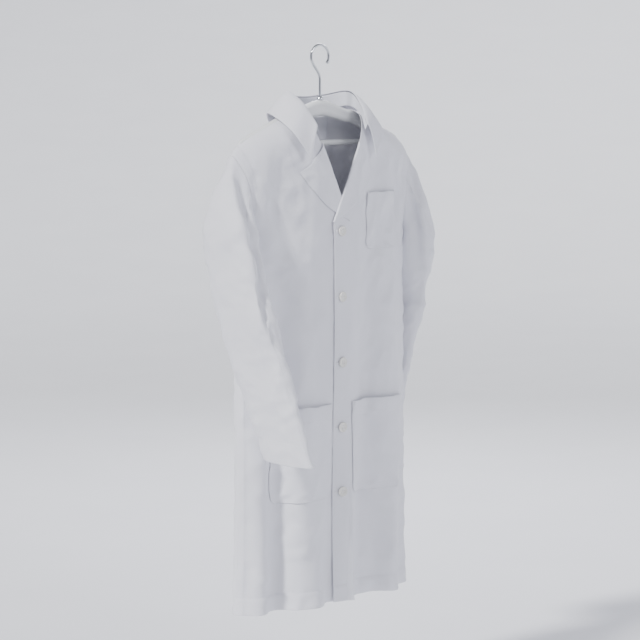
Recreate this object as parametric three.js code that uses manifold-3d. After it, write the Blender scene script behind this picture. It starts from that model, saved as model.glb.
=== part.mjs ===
// A laboratory coat on its swivel-hook hanger, in millimetres, +Z up.
// The origin is the point under the hook's bend that rests on the wardrobe rail.
// The coat faces -Y, so the wearer's left is +X. Every cloth piece is one closed sheet of its own.
import * as THREE from "three";
import { mergeVertices } from "three/addons/utils/BufferGeometryUtils.js";
import Module from "manifold-3d";

const wasm = await Module();
wasm.setup();

// ---- Driving dimensions ----
const cloth = 1.6; // one layer of cloth with the seam allowance behind it
const gap = 0.3; // clearance between two pieces that touch
const seam = 0.6; // clearance along a seam, measured in the cloth
const ease = 0.6; // slack between two layers lying on each other
const ply = cloth + ease; // how far one layer stands off the layer under it
const seamSet = (cloth + gap) / 2; // each edge's distance from the hanger's plane at shoulder and side

const neck = { x: 78, z: -122 }; // where the shoulder seam meets the collar
const shoulderTip = { x: 225, z: -186 }; // the outer end of the shoulder seam
const backNeckZ = -137; // the lowest point of the neckline at the back
const underarm = { x: 216, z: -375 }; // the bottom of the armhole
const hem = { halfWidth: 242, z: -1090 };
const frontDepth = 60; // how far the front stands forward of the hanger
const backDepth = 52; // how far the back stands behind it
const shoulderRound = 70; // height over which the shoulder rounds to full depth
const armholeScoop = 18; // how far the armhole is cut in behind a straight line
const armholeDepth = 38; // half the armhole's width, front to back

const lap = 20; // how far each front runs past the centre line
const breakZ = -338; // where the lapel starts to roll
const splitZ = -405; // the fronts swing free below this line
const swingX = 185; // the fronts swing about the upright line at this distance
const facingWidth = 50; // the turned-in facing, from the centre line
const layerEase = 60; // width over which the lapped layers settle onto one surface

const button = { radius: 10, thick: 3.2, rim: 1.6, rimHeight: 0.7, hole: 0.9, holeOffset: 2.4 };
const buttonClearance = 2; // between a button and the buttonhole that stretches over it
const shankRadius = 2;
const topButtonZ = -354;
const buttonPitch = 128;
const frontButtons = 4; // buttons below the top one

const pocket = { width: 150, height: 185, top: -690, inner: 25, bulge: 12 };
const breastPocket = { width: 92, height: 112, top: -282, inner: 72, bulge: 9 };
const belt = { halfLength: 112, height: 44, z: -520, buttonX: 92 };

const lapelTip = { x: 98, z: -238 };
const notch = { x: 74, z: -224 };
const gorge = { z: -184 }; // where the lapel's seam with the collar meets the roll line
const collarStand = 34;

const facingDrop = 50; // height of the facing inside the back neck
const facingHalf = 56; // half its width
const facingSet = ply + ease + gap; // how far it stands inside the back, which curves sharply there
const label = { width: 34, height: 24, top: -146 };
const loop = { width: 60, sag: 9, band: 7, z: -177 };
const loopBow = 2.5; // how far the loop stands off between its sewn ends

const sleeve = {
  bicep: 84, // half the flat width at the upper arm, then at the cuff
  cuff: 68,
  bicepThick: 28, // half the thickness at the upper arm, then at the cuff
  cuffThick: 20,
  cuffZ: -776,
  shoulderX: 246,
  elbowX: 254,
};
const cuffHem = 42; // depth of the turned-in hem at the end of the sleeve

const hanger = {
  halfLength: 206,
  armThick: 10,
  neckThick: 9,
  armHeight: 25,
  neckHeight: 30,
  neckTopZ: -104,
};
const bar = { radius: 5.5, z: -187, end: 186 };
const wire = 2.5; // radius of the hook's wire
const hookRadius = 20; // inside radius of the hook's bend
const hookBore = 0.3; // clearance round the hook's shank
const hookHead = { radius: 6, thick: 3, z: -116 };
const ballTip = 3.6;

// ---- Small helpers ----
const lerp = (a, b, t) => a + (b - a) * t;
const clamp = (t) => Math.min(1, Math.max(0, t));
const smooth = (t) => clamp(t) ** 2 * (3 - 2 * clamp(t));
const crowd = (t) => Math.sin((t * Math.PI) / 2); // packs grid lines towards 1

const white = new THREE.MeshStandardMaterial({ color: 0xeceef2, roughness: 0.85, metalness: 0 });
const white2 = new THREE.MeshStandardMaterial({ color: 0xe2e5ec, roughness: 0.85, metalness: 0 });
const pearl = new THREE.MeshStandardMaterial({ color: 0xf2f1ec, roughness: 0.35, metalness: 0 });
const plastic = new THREE.MeshStandardMaterial({ color: 0xdfe1e4, roughness: 0.4, metalness: 0 });
const chrome = new THREE.MeshStandardMaterial({ color: 0xc8cacd, roughness: 0.18, metalness: 1 });
const tape = new THREE.MeshStandardMaterial({ color: 0xf0f0ee, roughness: 0.8, metalness: 0 });

function solid(geometry) {
  const g = geometry.index ? geometry.toNonIndexed() : geometry.clone();
  for (const name of Object.keys(g.attributes)) if (name !== "position") g.deleteAttribute(name);
  const merged = mergeVertices(g, 1e-4);
  const mesh = new wasm.Mesh({
    numProp: 3,
    vertProperties: merged.attributes.position.array,
    triVerts: new Uint32Array(merged.index.array),
  });
  return new wasm.Manifold(mesh);
}

function geometryOf(manifold) {
  const made = manifold.getMesh();
  const g = new THREE.BufferGeometry();
  g.setAttribute("position", new THREE.BufferAttribute(made.vertProperties, made.numProp));
  g.setIndex(new THREE.BufferAttribute(made.triVerts, 1));
  g.computeVertexNormals();
  return g;
}

function minus(geometry, ...tools) {
  return geometryOf(tools.reduce((body, tool) => body.subtract(solid(tool)), solid(geometry)));
}

function plus(geometry, ...others) {
  return geometryOf(others.reduce((body, other) => body.add(solid(other)), solid(geometry)));
}

// A closed solid from a grid of points: a sheet, or a tube where the first direction closes on itself.
// place(u, v) is the middle of the cloth; out(u, v) says which side is the outside.
function sheet(place, columns, rows, { closed = false, thick = cloth } = {}) {
  const step = 1e-3;
  const across = closed ? columns : columns + 1;
  const points = { outer: [], inner: [] };
  for (let j = 0; j <= rows; j++) {
    for (let i = 0; i < across; i++) {
      const u = i / columns;
      const v = j / rows;
      const at = place(u, v);
      const uLow = closed ? u - step : Math.max(0, u - step);
      const uHigh = closed ? u + step : Math.min(1, u + step);
      const du = place(uHigh, v).sub(place(uLow, v));
      const dv = place(u, Math.min(1, v + step)).sub(place(u, Math.max(0, v - step)));
      const normal = du.cross(dv).normalize();
      points.outer.push(at.clone().addScaledVector(normal, thick / 2));
      points.inner.push(at.clone().addScaledVector(normal, -thick / 2));
    }
  }
  const all = [...points.outer, ...points.inner];
  const index = [];
  const behind = points.outer.length;
  const at = (i, j) => j * across + (closed ? i % columns : i);
  const quad = (a, b, c, d) => index.push(a, b, c, a, c, d);
  for (let j = 0; j < rows; j++)
    for (let i = 0; i < columns; i++) {
      const [a, b, c, d] = [at(i, j), at(i + 1, j), at(i + 1, j + 1), at(i, j + 1)];
      quad(a, b, c, d);
      quad(behind + d, behind + c, behind + b, behind + a);
    }
  for (let i = 0; i < columns; i++) {
    quad(behind + at(i, 0), behind + at(i + 1, 0), at(i + 1, 0), at(i, 0));
    quad(at(i, rows), at(i + 1, rows), behind + at(i + 1, rows), behind + at(i, rows));
  }
  if (!closed)
    for (let j = 0; j < rows; j++) {
      quad(at(0, j), at(0, j + 1), behind + at(0, j + 1), behind + at(0, j));
      const end = columns;
      quad(behind + at(end, j), behind + at(end, j + 1), at(end, j + 1), at(end, j));
    }
  const g = new THREE.BufferGeometry();
  g.setAttribute("position", new THREE.Float32BufferAttribute(all.flatMap((p) => p.toArray()), 3));
  g.setIndex(index);
  g.computeVertexNormals();
  return g;
}

// Turns a geometry's faces round, for a piece that is mirrored from the other side.
function mirrored(geometry) {
  const g = geometry.clone().scale(-1, 1, 1);
  const index = g.index.array;
  for (let i = 0; i < index.length; i += 3) [index[i + 1], index[i + 2]] = [index[i + 2], index[i + 1]];
  return g;
}

// ---- The coat's surface: half the front or back as a height above the hanger's plane ----
const shoulderZ = (x) =>
  neck.z + ((shoulderTip.z - neck.z) * (x - neck.x)) / (shoulderTip.x - neck.x);

function armhole(z) {
  const t = (z - underarm.z) / (shoulderTip.z - underarm.z);
  const swell = Math.sin(Math.PI * clamp(t));
  return {
    x: lerp(underarm.x, shoulderTip.x, t) - armholeScoop * swell,
    depth: armholeDepth * swell,
  };
}

const sideSeam = (z) =>
  lerp(underarm.x, hem.halfWidth, (underarm.z - z) / (underarm.z - hem.z));

const sideX = (z) => (z < underarm.z ? sideSeam(z) : armhole(Math.min(z, shoulderTip.z)).x);

// Distance of the cloth from the hanger's plane at x, z, for a front or back of the given depth.
function depthAt(x, z, depth) {
  const edge = z < underarm.z ? 0 : armhole(z).depth;
  const across = Math.sqrt(Math.max(0, 1 - (x / sideX(z)) ** 2));
  const below = clamp((shoulderZ(Math.abs(x)) - z) / shoulderRound);
  return (edge + (depth - edge) * across) * Math.sqrt(Math.max(0, 1 - (1 - below) ** 2));
}

// How far a front's layers stand off the common surface near the centre line.
function lapOffset(x, side) {
  const level = side === "left" ? 1.5 * ply : -0.5 * ply;
  return level * (1 - smooth((x - lap) / layerEase));
}

// A point on one front, with x measured from the centre line towards its own side.
function onFront(x, z, side, lift = 0) {
  const y = -seamSet - depthAt(x, z, frontDepth) - lapOffset(x, side);
  const at = new THREE.Vector3(x, y, z);
  return lift ? at.addScaledVector(normalOf(x, z, frontDepth).multiply(facingForward), lift) : at;
}

function onBack(x, z, lift = 0) {
  const at = new THREE.Vector3(x, seamSet + depthAt(x, z, backDepth), z);
  return lift ? at.addScaledVector(normalOf(x, z, backDepth), lift) : at;
}

// The outward direction of a back of the given depth; a front's is the same turned about.
function normalOf(x, z, depth) {
  const step = 0.5;
  const slopeX = depthAt(x + step, z, depth) - depthAt(x - step, z, depth);
  const slopeZ = depthAt(x, z + step, depth) - depthAt(x, z - step, depth);
  return new THREE.Vector3(-slopeX, 2 * step, -slopeZ).normalize();
}

const facingForward = new THREE.Vector3(1, -1, 1);

// A point inside four edges, each a function of its own running share from 0 to 1.
function coons({ bottom, top, left, right }) {
  return (u, v) => {
    const [b, t, l, r] = [bottom(u), top(u), left(v), right(v)];
    const corners = ["x", "z"].map(
      (k) =>
        lerp(b[k], t[k], v) +
        lerp(l[k], r[k], u) -
        lerp(lerp(bottom(0)[k], bottom(1)[k], u), lerp(top(0)[k], top(1)[k], u), v),
    );
    return { x: corners[0], z: corners[1] };
  };
}

const line = (a, b) => (t) => ({ x: lerp(a.x, b.x, t), z: lerp(a.z, b.z, t) });

// Several straight stretches run through in proportion to their lengths.
function path(...points) {
  const lengths = points.slice(1).map((p, i) => Math.hypot(p.x - points[i].x, p.z - points[i].z));
  const total = lengths.reduce((a, b) => a + b, 0);
  return (t) => {
    let left = t * total;
    for (let i = 0; i < lengths.length; i++) {
      if (left <= lengths[i] || i === lengths.length - 1)
        return line(points[i], points[i + 1])(left / lengths[i]);
      left -= lengths[i];
    }
    return points[points.length - 1];
  };
}

const rollX = (z) => lerp(-lap, neck.x, (z - breakZ) / (neck.z - breakZ));

const neckline = (x) => lerp(backNeckZ, neck.z, (x / neck.x) ** 2);

// ---- Body pieces, each made for the wearer's left and mirrored for the right ----
const grid = { chest: [11, 13], front: [10, 10], side: [4, 10], back: [14, 20] };
const backNeckShare = 5 / 14; // the columns of the back that end on the neckline

function chestSheet(side) {
  const low = splitZ + seam / 2;
  const place = (u, v) => {
    const share = crowd(u);
    const z = lerp(low, shoulderZ(lerp(neck.x, shoulderTip.x, share)), crowd(v));
    const opening = z < breakZ ? -lap : rollX(Math.min(z, neck.z));
    return onFront(lerp(opening, sideX(z), share), z, side);
  };
  return sheet(place, ...grid.chest);
}

function frontSheet(side) {
  const high = splitZ - seam / 2;
  const edge = swingX - seam / 2;
  const place = (u, v) => onFront(lerp(-lap, edge, u), lerp(hem.z, high, v), side);
  return sheet(place, ...grid.front);
}

function sideSheet() {
  const high = splitZ - seam / 2;
  const place = (u, v) => {
    const z = lerp(hem.z, high, v);
    return onFront(lerp(swingX + seam / 2, sideX(z), crowd(u)), z, "right");
  };
  return sheet(place, ...grid.side);
}

// The back's top edge follows the neckline for the first columns and the shoulder for the rest.
function backSheet() {
  const place = (u, v) => {
    const onNeck = u < backNeckShare;
    const run = onNeck ? u / backNeckShare : crowd((u - backNeckShare) / (1 - backNeckShare));
    const topX = onNeck ? lerp(0, neck.x, run) : lerp(neck.x, shoulderTip.x, run);
    const top = onNeck ? neckline(topX) : shoulderZ(topX);
    const z = lerp(hem.z, top, crowd(v));
    return onBack(lerp(seam / 2, sideX(z), topX / shoulderTip.x), z);
  };
  return sheet((u, v) => place(1 - u, v), ...grid.back);
}

const facingSheet = (side) =>
  sheet(
    (u, v) => {
      const z = lerp(hem.z + ply, splitZ - seam, v);
      return onFront(lerp(-lap + gap, facingWidth, u), z, side, -ply);
    },
    4,
    8,
  );

// ---- Lapels, collar and neck ----
function lapelSheet(side) {
  const start = { x: -lap + seam, z: breakZ + seam };
  const toe = { x: start.x + 4, z: breakZ + seam };
  const roll = { x: rollX(gorge.z) + seam, z: gorge.z };
  const outer = new THREE.QuadraticBezierCurve(
    new THREE.Vector2(toe.x, toe.z),
    new THREE.Vector2(48, -304),
    new THREE.Vector2(lapelTip.x, lapelTip.z),
  );
  const shape = coons({
    bottom: line(start, toe),
    top: path(roll, notch, lapelTip),
    left: line(start, roll),
    right: (t) => {
      const p = outer.getPoint(t);
      return { x: p.x, z: p.y };
    },
  });
  const place = (u, v) => {
    const { x, z } = shape(u, v);
    return onFront(x, z, side, ply);
  };
  return sheet(place, 7, 9);
}

// The collar's stations from the middle of the back round to the collar's point: the neck seam,
// the fold, the push that rounds the fall, and the free edge.
const collarStations = [
  { seam: [0, backDepth - 3, -137], fold: [0, backDepth - 5, -99], push: [0, backDepth + 14, -104], edge: [0, backDepth + 11, -170] },
  { seam: [42, 40, -134], fold: [44, 38, -95], push: [57, 58, -100], edge: [62, backDepth + 8, -168] },
  { seam: [75, 6, -119], fold: [76, 2, -88], push: [104, 12, -88], edge: [116, 22, -128] },
  { seam: [74, -34, -132], fold: [72, -36, -112], push: [98, -50, -104], edge: [118, 8 - frontDepth, -160] },
  {
    seam: [rollX(-162), -4 - frontDepth, -162],
    fold: [rollX(-152), -6 - frontDepth, -152],
    push: [76, -18 - frontDepth, -152],
    edge: [84, -12 - frontDepth, -214],
  },
];

const collarCurve = (key) =>
  new THREE.CatmullRomCurve3(
    [...collarStations.slice(1).reverse().map(({ [key]: [x, y, z] }) => new THREE.Vector3(-x, y, z)),
      ...collarStations.map(({ [key]: [x, y, z] }) => new THREE.Vector3(x, y, z))],
    false,
    "catmullrom",
    0.5,
  );

const collar = { seam: collarCurve("seam"), fold: collarCurve("fold"), push: collarCurve("push"), edge: collarCurve("edge") };

const collarStandSheet = () =>
  sheet((u, v) => collar.seam.getPoint(u).lerp(collar.fold.getPoint(u), lerp(0.16, 0.93, v)), 26, 2);

const collarLeafSheet = () =>
  sheet((u, v) => {
    const fall = new THREE.QuadraticBezierCurve3(
      collar.fold.getPoint(u).add(new THREE.Vector3(0, 0, ply)),
      collar.push.getPoint(u),
      collar.edge.getPoint(u),
    );
    return fall.getPoint(1 - v);
  }, 26, 6);

const neckFacingSheet = () =>
  sheet((u, v) => {
    const x = lerp(facingHalf, -facingHalf, u);
    const top = neckline(x) - seam;
    return onBack(x, lerp(top - facingDrop, top, crowd(v)), -facingSet);
  }, 10, 5);

const labelSheet = () =>
  sheet((u, v) => {
    const x = lerp(label.width, -label.width, u) / 2;
    return onBack(x, lerp(label.top - label.height, label.top, v), -facingSet - ply);
  }, 4, 2, { thick: 1 });

function loopBand() {
  const place = (u, v) => {
    const x = lerp(loop.width, -loop.width, u) / 2;
    const sag = loop.sag * Math.sin(Math.PI * u);
    const z = loop.z - sag + loop.band * v;
    return onBack(x, z, -facingSet - ply - loopBow * Math.sin(Math.PI * u));
  };
  return sheet(place, 10, 1, { thick: 1.2 });
}

// ---- Pockets and belt ----
function pocketSheet({ width, height, top, inner, bulge }, side) {
  const place = (u, v) => {
    const puff = Math.sin(Math.PI * clamp(u)) ** 0.6 * Math.sin((Math.PI / 2) * v) ** 0.7;
    const stand = ply + gap + bulge * Math.max(0, puff);
    return onFront(inner + width * u, top - height * (1 - v), side, stand);
  };
  return sheet(place, 10, 6);
}

const beltSheet = () =>
  sheet((u, v) => {
    const x = lerp(belt.halfLength, -belt.halfLength, u);
    return onBack(x, belt.z + belt.height * (v - 0.5), ply + gap);
  }, 16, 1);

// A four-hole sewn button with its back at the origin, facing +Z, on a thread shank.
function buttonGeometry(shank) {
  const { radius, thick, rim, rimHeight, hole, holeOffset } = button;
  const profile = [
    [0, -shank],
    [shankRadius, -shank],
    [shankRadius, 0],
    [radius - 1, 0],
    [radius, thick * 0.45],
    [radius - rim * 0.4, thick],
    [radius - rim, thick],
    [radius - rim - 1, thick - rimHeight],
    [0, thick - rimHeight],
  ].map(([r, z]) => new THREE.Vector2(r, z));
  const disc = new THREE.LatheGeometry(profile, 14).rotateX(Math.PI / 2);
  const bores = [0, 1, 2, 3].map((k) => {
    const turn = Math.PI / 4 + (k * Math.PI) / 2;
    const reach = holeOffset / Math.cos(Math.PI / 4);
    return new THREE.CylinderGeometry(hole, hole, thick, 5)
      .rotateX(Math.PI / 2)
      .translate(reach * Math.cos(turn), reach * Math.sin(turn), thick * 1.1);
  });
  return minus(disc, ...bores);
}

const faceOut = new THREE.Quaternion().setFromUnitVectors(
  new THREE.Vector3(0, 0, 1),
  new THREE.Vector3(0, -1, 0),
);

// ---- Sleeves ----
// One sleeve hangs forward of the coat and the other behind it; turn twists the flat width at the cuff.
const hang = {
  left: { cuff: { x: 236, y: 88 }, turn: 0 },
  right: { cuff: { x: 206, y: -140 }, turn: 0 },
};

function sleevePlace(side, inset = 0) {
  const { cuff, turn } = hang[side];
  const middle = new THREE.CatmullRomCurve3([
    new THREE.Vector3(sleeve.shoulderX, 0, shoulderTip.z),
    new THREE.Vector3(sleeve.elbowX, cuff.y * 0.2, underarm.z),
    new THREE.Vector3(lerp(sleeve.elbowX, cuff.x, 0.4), cuff.y * 0.62, lerp(underarm.z, sleeve.cuffZ, 0.5)),
    new THREE.Vector3(cuff.x, cuff.y, sleeve.cuffZ),
  ]);
  return (u, v) => {
    const around = 2 * Math.PI * u;
    const inward = (1 - Math.cos(around)) / 2; // 0 at the shoulder, 1 at the underarm
    const armZ = lerp(shoulderTip.z, underarm.z, inward);
    const hole = armhole(armZ);
    const z = lerp(armZ, sleeve.cuffZ, v);
    const along = clamp((shoulderTip.z - z) / (shoulderTip.z - sleeve.cuffZ));
    const at = middle.getPoint(along);
    const low = smooth((along - 0.3) / 0.7);
    const wide = lerp(sleeve.bicep, sleeve.cuff, low) - inset;
    const thin = lerp(sleeve.bicepThick, sleeve.cuffThick, low) - inset;
    const angle = turn * smooth((along - 0.2) / 0.8);
    const [a, b] = [thin * Math.cos(around), -wide * Math.sin(around)];
    const tube = {
      x: at.x + a * Math.cos(angle) + b * Math.sin(angle),
      y: at.y - a * Math.sin(angle) + b * Math.cos(angle),
    };
    const settle = Math.sin((Math.PI / 2) * clamp(v / 0.3));
    const start = { x: hole.x + ply + seam, y: -Math.sign(Math.sin(around)) * hole.depth };
    const x = lerp(start.x, tube.x, settle);
    const y = lerp(start.y, tube.y, settle);
    return new THREE.Vector3(x, y, z);
  };
}

// The upper piece of a sleeve runs round its outside from the front seam, and the under piece its inside.
const sleevePieces = { upper: -0.25, under: 0.25 };
const seamShare = gap / (Math.PI * sleeve.cuffThick); // twice the gap, as the edges lean together

const sleeveSheet = (side, start) => {
  const place = sleevePlace(side);
  const round = (u) => start + lerp(seamShare / 2, 0.5 - seamShare / 2, u);
  return sheet((u, v) => place(round(u), 1 - v), 10, 12);
};

const cuffSheet = (side) => {
  const place = sleevePlace(side, ply + ease);
  const start = 1 - cuffHem / (underarm.z - sleeve.cuffZ);
  return sheet((u, v) => place(u, lerp(0.995, start, v)), 20, 1, { closed: true });
};

// ---- Hanger and hook ----
function hangerFrame() {
  const stations = 18;
  const ring = 10;
  const points = [];
  const index = [];
  for (let i = 0; i <= stations; i++) {
    const x = lerp(-hanger.halfLength, hanger.halfLength, i / stations);
    const out = smooth(Math.abs(x) / neck.x);
    const shoulder = shoulderZ(Math.max(Math.abs(x), neck.x)) - cloth / 2 - gap;
    const top = lerp(hanger.neckTopZ, shoulder, out);
    const taper = lerp(1, 0.5, smooth((Math.abs(x) - hanger.halfLength + 40) / 40));
    const halfHeight = (lerp(hanger.neckHeight, hanger.armHeight, out) / 2) * taper;
    const halfThick = lerp(hanger.neckThick, hanger.armThick, out) * taper;
    for (let k = 0; k < ring; k++) {
      const a = (2 * Math.PI * k) / ring + Math.PI / 2;
      points.push(x, halfThick * Math.cos(a), top - halfHeight + halfHeight * Math.sin(a));
    }
  }
  const at = (i, k) => i * ring + (k % ring);
  for (let i = 0; i < stations; i++)
    for (let k = 0; k < ring; k++) {
      index.push(at(i, k), at(i + 1, k + 1), at(i + 1, k));
      index.push(at(i, k), at(i, k + 1), at(i + 1, k + 1));
    }
  for (let k = 1; k < ring - 1; k++) {
    index.push(at(0, 0), at(0, k + 1), at(0, k));
    index.push(at(stations, 0), at(stations, k), at(stations, k + 1));
  }
  const g = new THREE.BufferGeometry();
  g.setAttribute("position", new THREE.Float32BufferAttribute(points, 3));
  g.setIndex(index);
  const tall = 60;
  const upright = (radius, height, z) =>
    new THREE.CylinderGeometry(radius, radius, height, 20).rotateX(Math.PI / 2).translate(0, 0, z);
  const shankBore = upright(wire + hookBore, tall, hanger.neckTopZ);
  const headRoom = upright(hookHead.radius + hookBore, tall, hookHead.z + gap - tall / 2);
  const barBore = new THREE.CylinderGeometry(bar.radius + gap, bar.radius + gap, 2 * bar.end + 2 * gap, 16)
    .rotateZ(Math.PI / 2)
    .translate(0, 0, bar.z);
  return minus(g, shankBore, headRoom, barBore);
}

function hookGeometry() {
  const bend = hookRadius + wire;
  const centre = -hookRadius;
  const free = new THREE.Vector3(bend * Math.cos(-0.5), 0, centre + bend * Math.sin(-0.5));
  class HookLine extends THREE.Curve {
    getPoint(t, at = new THREE.Vector3()) {
      const turn = lerp(-0.5, 3.45, clamp(t / 0.55));
      if (t <= 0.55) return at.set(bend * Math.cos(turn), 0, centre + bend * Math.sin(turn));
      const leave = new THREE.Vector3(bend * Math.cos(3.45), 0, centre + bend * Math.sin(3.45));
      const sway = new THREE.CubicBezierCurve3(
        leave,
        new THREE.Vector3(leave.x + 6, 0, leave.z - 17),
        new THREE.Vector3(0, 0, -48),
        new THREE.Vector3(0, 0, -66),
      );
      if (t <= 0.75) return at.copy(sway.getPoint((t - 0.55) / 0.2));
      return at.set(0, 0, lerp(-66, hookHead.z - 1, (t - 0.75) / 0.25));
    }
  }
  const section = new THREE.Shape();
  section.absarc(0, 0, wire, 0, 2 * Math.PI);
  const rod = new THREE.ExtrudeGeometry(section, {
    steps: 40,
    curveSegments: 4,
    extrudePath: new HookLine(),
  });
  const head = new THREE.CylinderGeometry(hookHead.radius, hookHead.radius, hookHead.thick, 20)
    .rotateX(Math.PI / 2)
    .translate(0, 0, hookHead.z - hookHead.thick / 2);
  const ball = new THREE.SphereGeometry(ballTip, 12, 8).translate(free.x, 0, free.z);
  return plus(rod, head, ball);
}

const barGeometry = () =>
  new THREE.CylinderGeometry(bar.radius, bar.radius, 2 * bar.end, 16)
    .rotateZ(Math.PI / 2)
    .translate(0, 0, bar.z);

// ---- Assembly ----
const coat = new THREE.Group();

function add(name, geometry, material) {
  const mesh = new THREE.Mesh(geometry, material);
  mesh.name = name;
  coat.add(mesh);
  return mesh;
}

// A hole through the left front that a button passes as its front is opened.
function buttonhole(z) {
  return new THREE.CylinderGeometry(button.radius + buttonClearance, button.radius + buttonClearance, 40, 20)
    .translate(0, onFront(0, z, "left").y, z);
}

const lowerButtonZs = Array.from({ length: frontButtons }, (_, k) => topButtonZ - buttonPitch * (k + 1));

add("hook", hookGeometry(), chrome);
add("hanger_frame", hangerFrame(), plastic);
add("trouser_bar", barGeometry(), plastic);

add("back_left", backSheet(), white);
add("back_right", mirrored(backSheet()), white2);
add("chest_left", minus(chestSheet("left"), buttonhole(topButtonZ)), white2);
add("chest_right", mirrored(chestSheet("right")), white);
add("side_left", sideSheet(), white);
add("side_right", mirrored(sideSheet()), white2);
add("collar_stand", collarStandSheet(), white2);
add("collar_leaf", collarLeafSheet(), white);
add("lapel_left", lapelSheet("left"), white);
add("lapel_right", mirrored(lapelSheet("right")), white2);
add("breast_pocket", pocketSheet(breastPocket, "left"), white);
add("neck_facing", neckFacingSheet(), white2);
add("size_label", labelSheet(), tape);
add("hanging_loop", loopBand(), tape);
add("back_belt", beltSheet(), white);

add("front_left", minus(frontSheet("left"), ...lowerButtonZs.map(buttonhole)), white2);
add("facing_left", minus(facingSheet("left"), ...lowerButtonZs.map(buttonhole)), white);
add("pocket_left", pocketSheet(pocket, "left"), white);
add("front_right", mirrored(frontSheet("right")), white);
add("facing_right", mirrored(facingSheet("right")), white2);
add("pocket_right", mirrored(pocketSheet(pocket, "right")), white2);

// The front buttons are sewn to the right front and stand just proud of the left one.
const shank = 2 * ply; // from a button down to the right front's face
[topButtonZ, ...lowerButtonZs].forEach((z, k) => {
  const mesh = add("button_" + (k + 1), buttonGeometry(shank), pearl);
  mesh.quaternion.copy(faceOut);
  mesh.position.set(0, onFront(0, z, "left").y - cloth / 2 - gap, z);
});

const faceBack = new THREE.Quaternion().setFromUnitVectors(
  new THREE.Vector3(0, 0, 1),
  new THREE.Vector3(0, 1, 0),
);
for (const [name, x] of [["belt_button_left", belt.buttonX], ["belt_button_right", -belt.buttonX]]) {
  const mesh = add(name, buttonGeometry(0.5), pearl);
  mesh.quaternion.copy(faceBack);
  mesh.position.set(x, onBack(belt.buttonX, belt.z).y + ply + cloth + 1.4, belt.z);
}

for (const side of ["left", "right"]) {
  const turned = side === "left" ? (g) => g : mirrored;
  for (const [piece, start] of Object.entries(sleevePieces)) {
    add("sleeve_" + piece + "_" + side, turned(sleeveSheet(side, start)), piece === "upper" ? white : white2);
  }
  add("cuff_hem_" + side, turned(cuffSheet(side)), side === "left" ? white2 : white);
}

export default coat;
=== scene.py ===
"""A white laboratory coat on its hanger, in metres, +Z up, with the coat's front facing -Y.

The coat is first one welded shell, which settles as cloth; every panel, hem, pocket and seam is then
laid on the settled surface.
"""
import math

import bmesh
import bpy
import numpy as np
from mathutils import Matrix, Vector, noise


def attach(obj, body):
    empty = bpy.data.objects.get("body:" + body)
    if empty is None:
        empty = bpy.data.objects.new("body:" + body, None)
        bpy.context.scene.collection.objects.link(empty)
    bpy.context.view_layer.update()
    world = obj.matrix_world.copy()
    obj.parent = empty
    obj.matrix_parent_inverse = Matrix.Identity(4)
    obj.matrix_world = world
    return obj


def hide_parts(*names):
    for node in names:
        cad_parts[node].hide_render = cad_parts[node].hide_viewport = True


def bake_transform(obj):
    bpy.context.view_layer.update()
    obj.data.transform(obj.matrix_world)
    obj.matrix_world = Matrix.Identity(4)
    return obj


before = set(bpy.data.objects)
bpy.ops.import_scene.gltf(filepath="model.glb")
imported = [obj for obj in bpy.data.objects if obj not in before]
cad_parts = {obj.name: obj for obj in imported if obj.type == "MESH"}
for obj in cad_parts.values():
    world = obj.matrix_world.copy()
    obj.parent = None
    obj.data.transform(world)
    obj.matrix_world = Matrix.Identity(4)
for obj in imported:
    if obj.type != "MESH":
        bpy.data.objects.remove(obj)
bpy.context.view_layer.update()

# ---- Sizes of the coat ----
NECK = (0.078, -0.122)
TIP = (0.225, -0.186)
BACK_NECK_Z = -0.137
UNDER = (0.216, -0.375)
HEM = (0.242, -1.086)
FRONT_DEPTH = 0.060
BACK_DEPTH = 0.052
SHOULDER_ROUND = 0.070
ARMHOLE_SCOOP = 0.018
ARMHOLE_DEPTH = 0.038
BREAK_Z = -0.338
LAP = 0.020
CUFF_Z = -0.772
CLOTH = 0.0009
PLY = 0.0013

# ---- The shell's grid ----
COLUMNS_FRONT = 18
COLUMNS_NECK = 6
ROWS_LOW = 50
ROWS_HIGH = 20
ROWS_SLEEVE = 34


def smooth(t):
    t = np.clip(t, 0, 1)
    return t * t * (3 - 2 * t)


def mix(a, b, t):
    return a + (b - a) * t


def shoulder_z(x):
    return NECK[1] + (TIP[1] - NECK[1]) * (x - NECK[0]) / (TIP[0] - NECK[0])


def armhole(z):
    t = (np.minimum(z, TIP[1]) - UNDER[1]) / (TIP[1] - UNDER[1])
    swell = np.sin(np.pi * np.clip(t, 0, 1))
    return mix(UNDER[0], TIP[0], t) - ARMHOLE_SCOOP * swell, ARMHOLE_DEPTH * swell


def side_x(z):
    seam = mix(UNDER[0], HEM[0], (UNDER[1] - z) / (UNDER[1] - HEM[1]))
    return np.where(z < UNDER[1], seam, armhole(z)[0])


def depth_at(x, z, depth):
    edge = np.where(z < UNDER[1], 0, armhole(z)[1])
    across = np.sqrt(np.maximum(0, 1 - (x / side_x(z)) ** 2))
    below = np.clip((shoulder_z(np.abs(x)) - z) / SHOULDER_ROUND, 0, 1)
    return (edge + (depth - edge) * across) * np.sqrt(1 - (1 - below) ** 2)


def neckline_z(x):
    return mix(BACK_NECK_Z, NECK[1], (x / NECK[0]) ** 2)


def opening_x(z):
    return np.where(z < BREAK_Z, 0, NECK[0] * (z - BREAK_Z) / (NECK[1] - BREAK_Z))


def arc_shares(n):
    """Shares of the half width at even steps along the cloth from the centre to the side."""
    turn = np.linspace(0, np.pi / 2, 400)
    x, y = np.sin(turn), 0.26 * np.cos(turn)
    run = np.concatenate([[0], np.cumsum(np.hypot(np.diff(x), np.diff(y)))])
    return np.interp(np.linspace(0, run[-1], n + 1), run, x)


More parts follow.
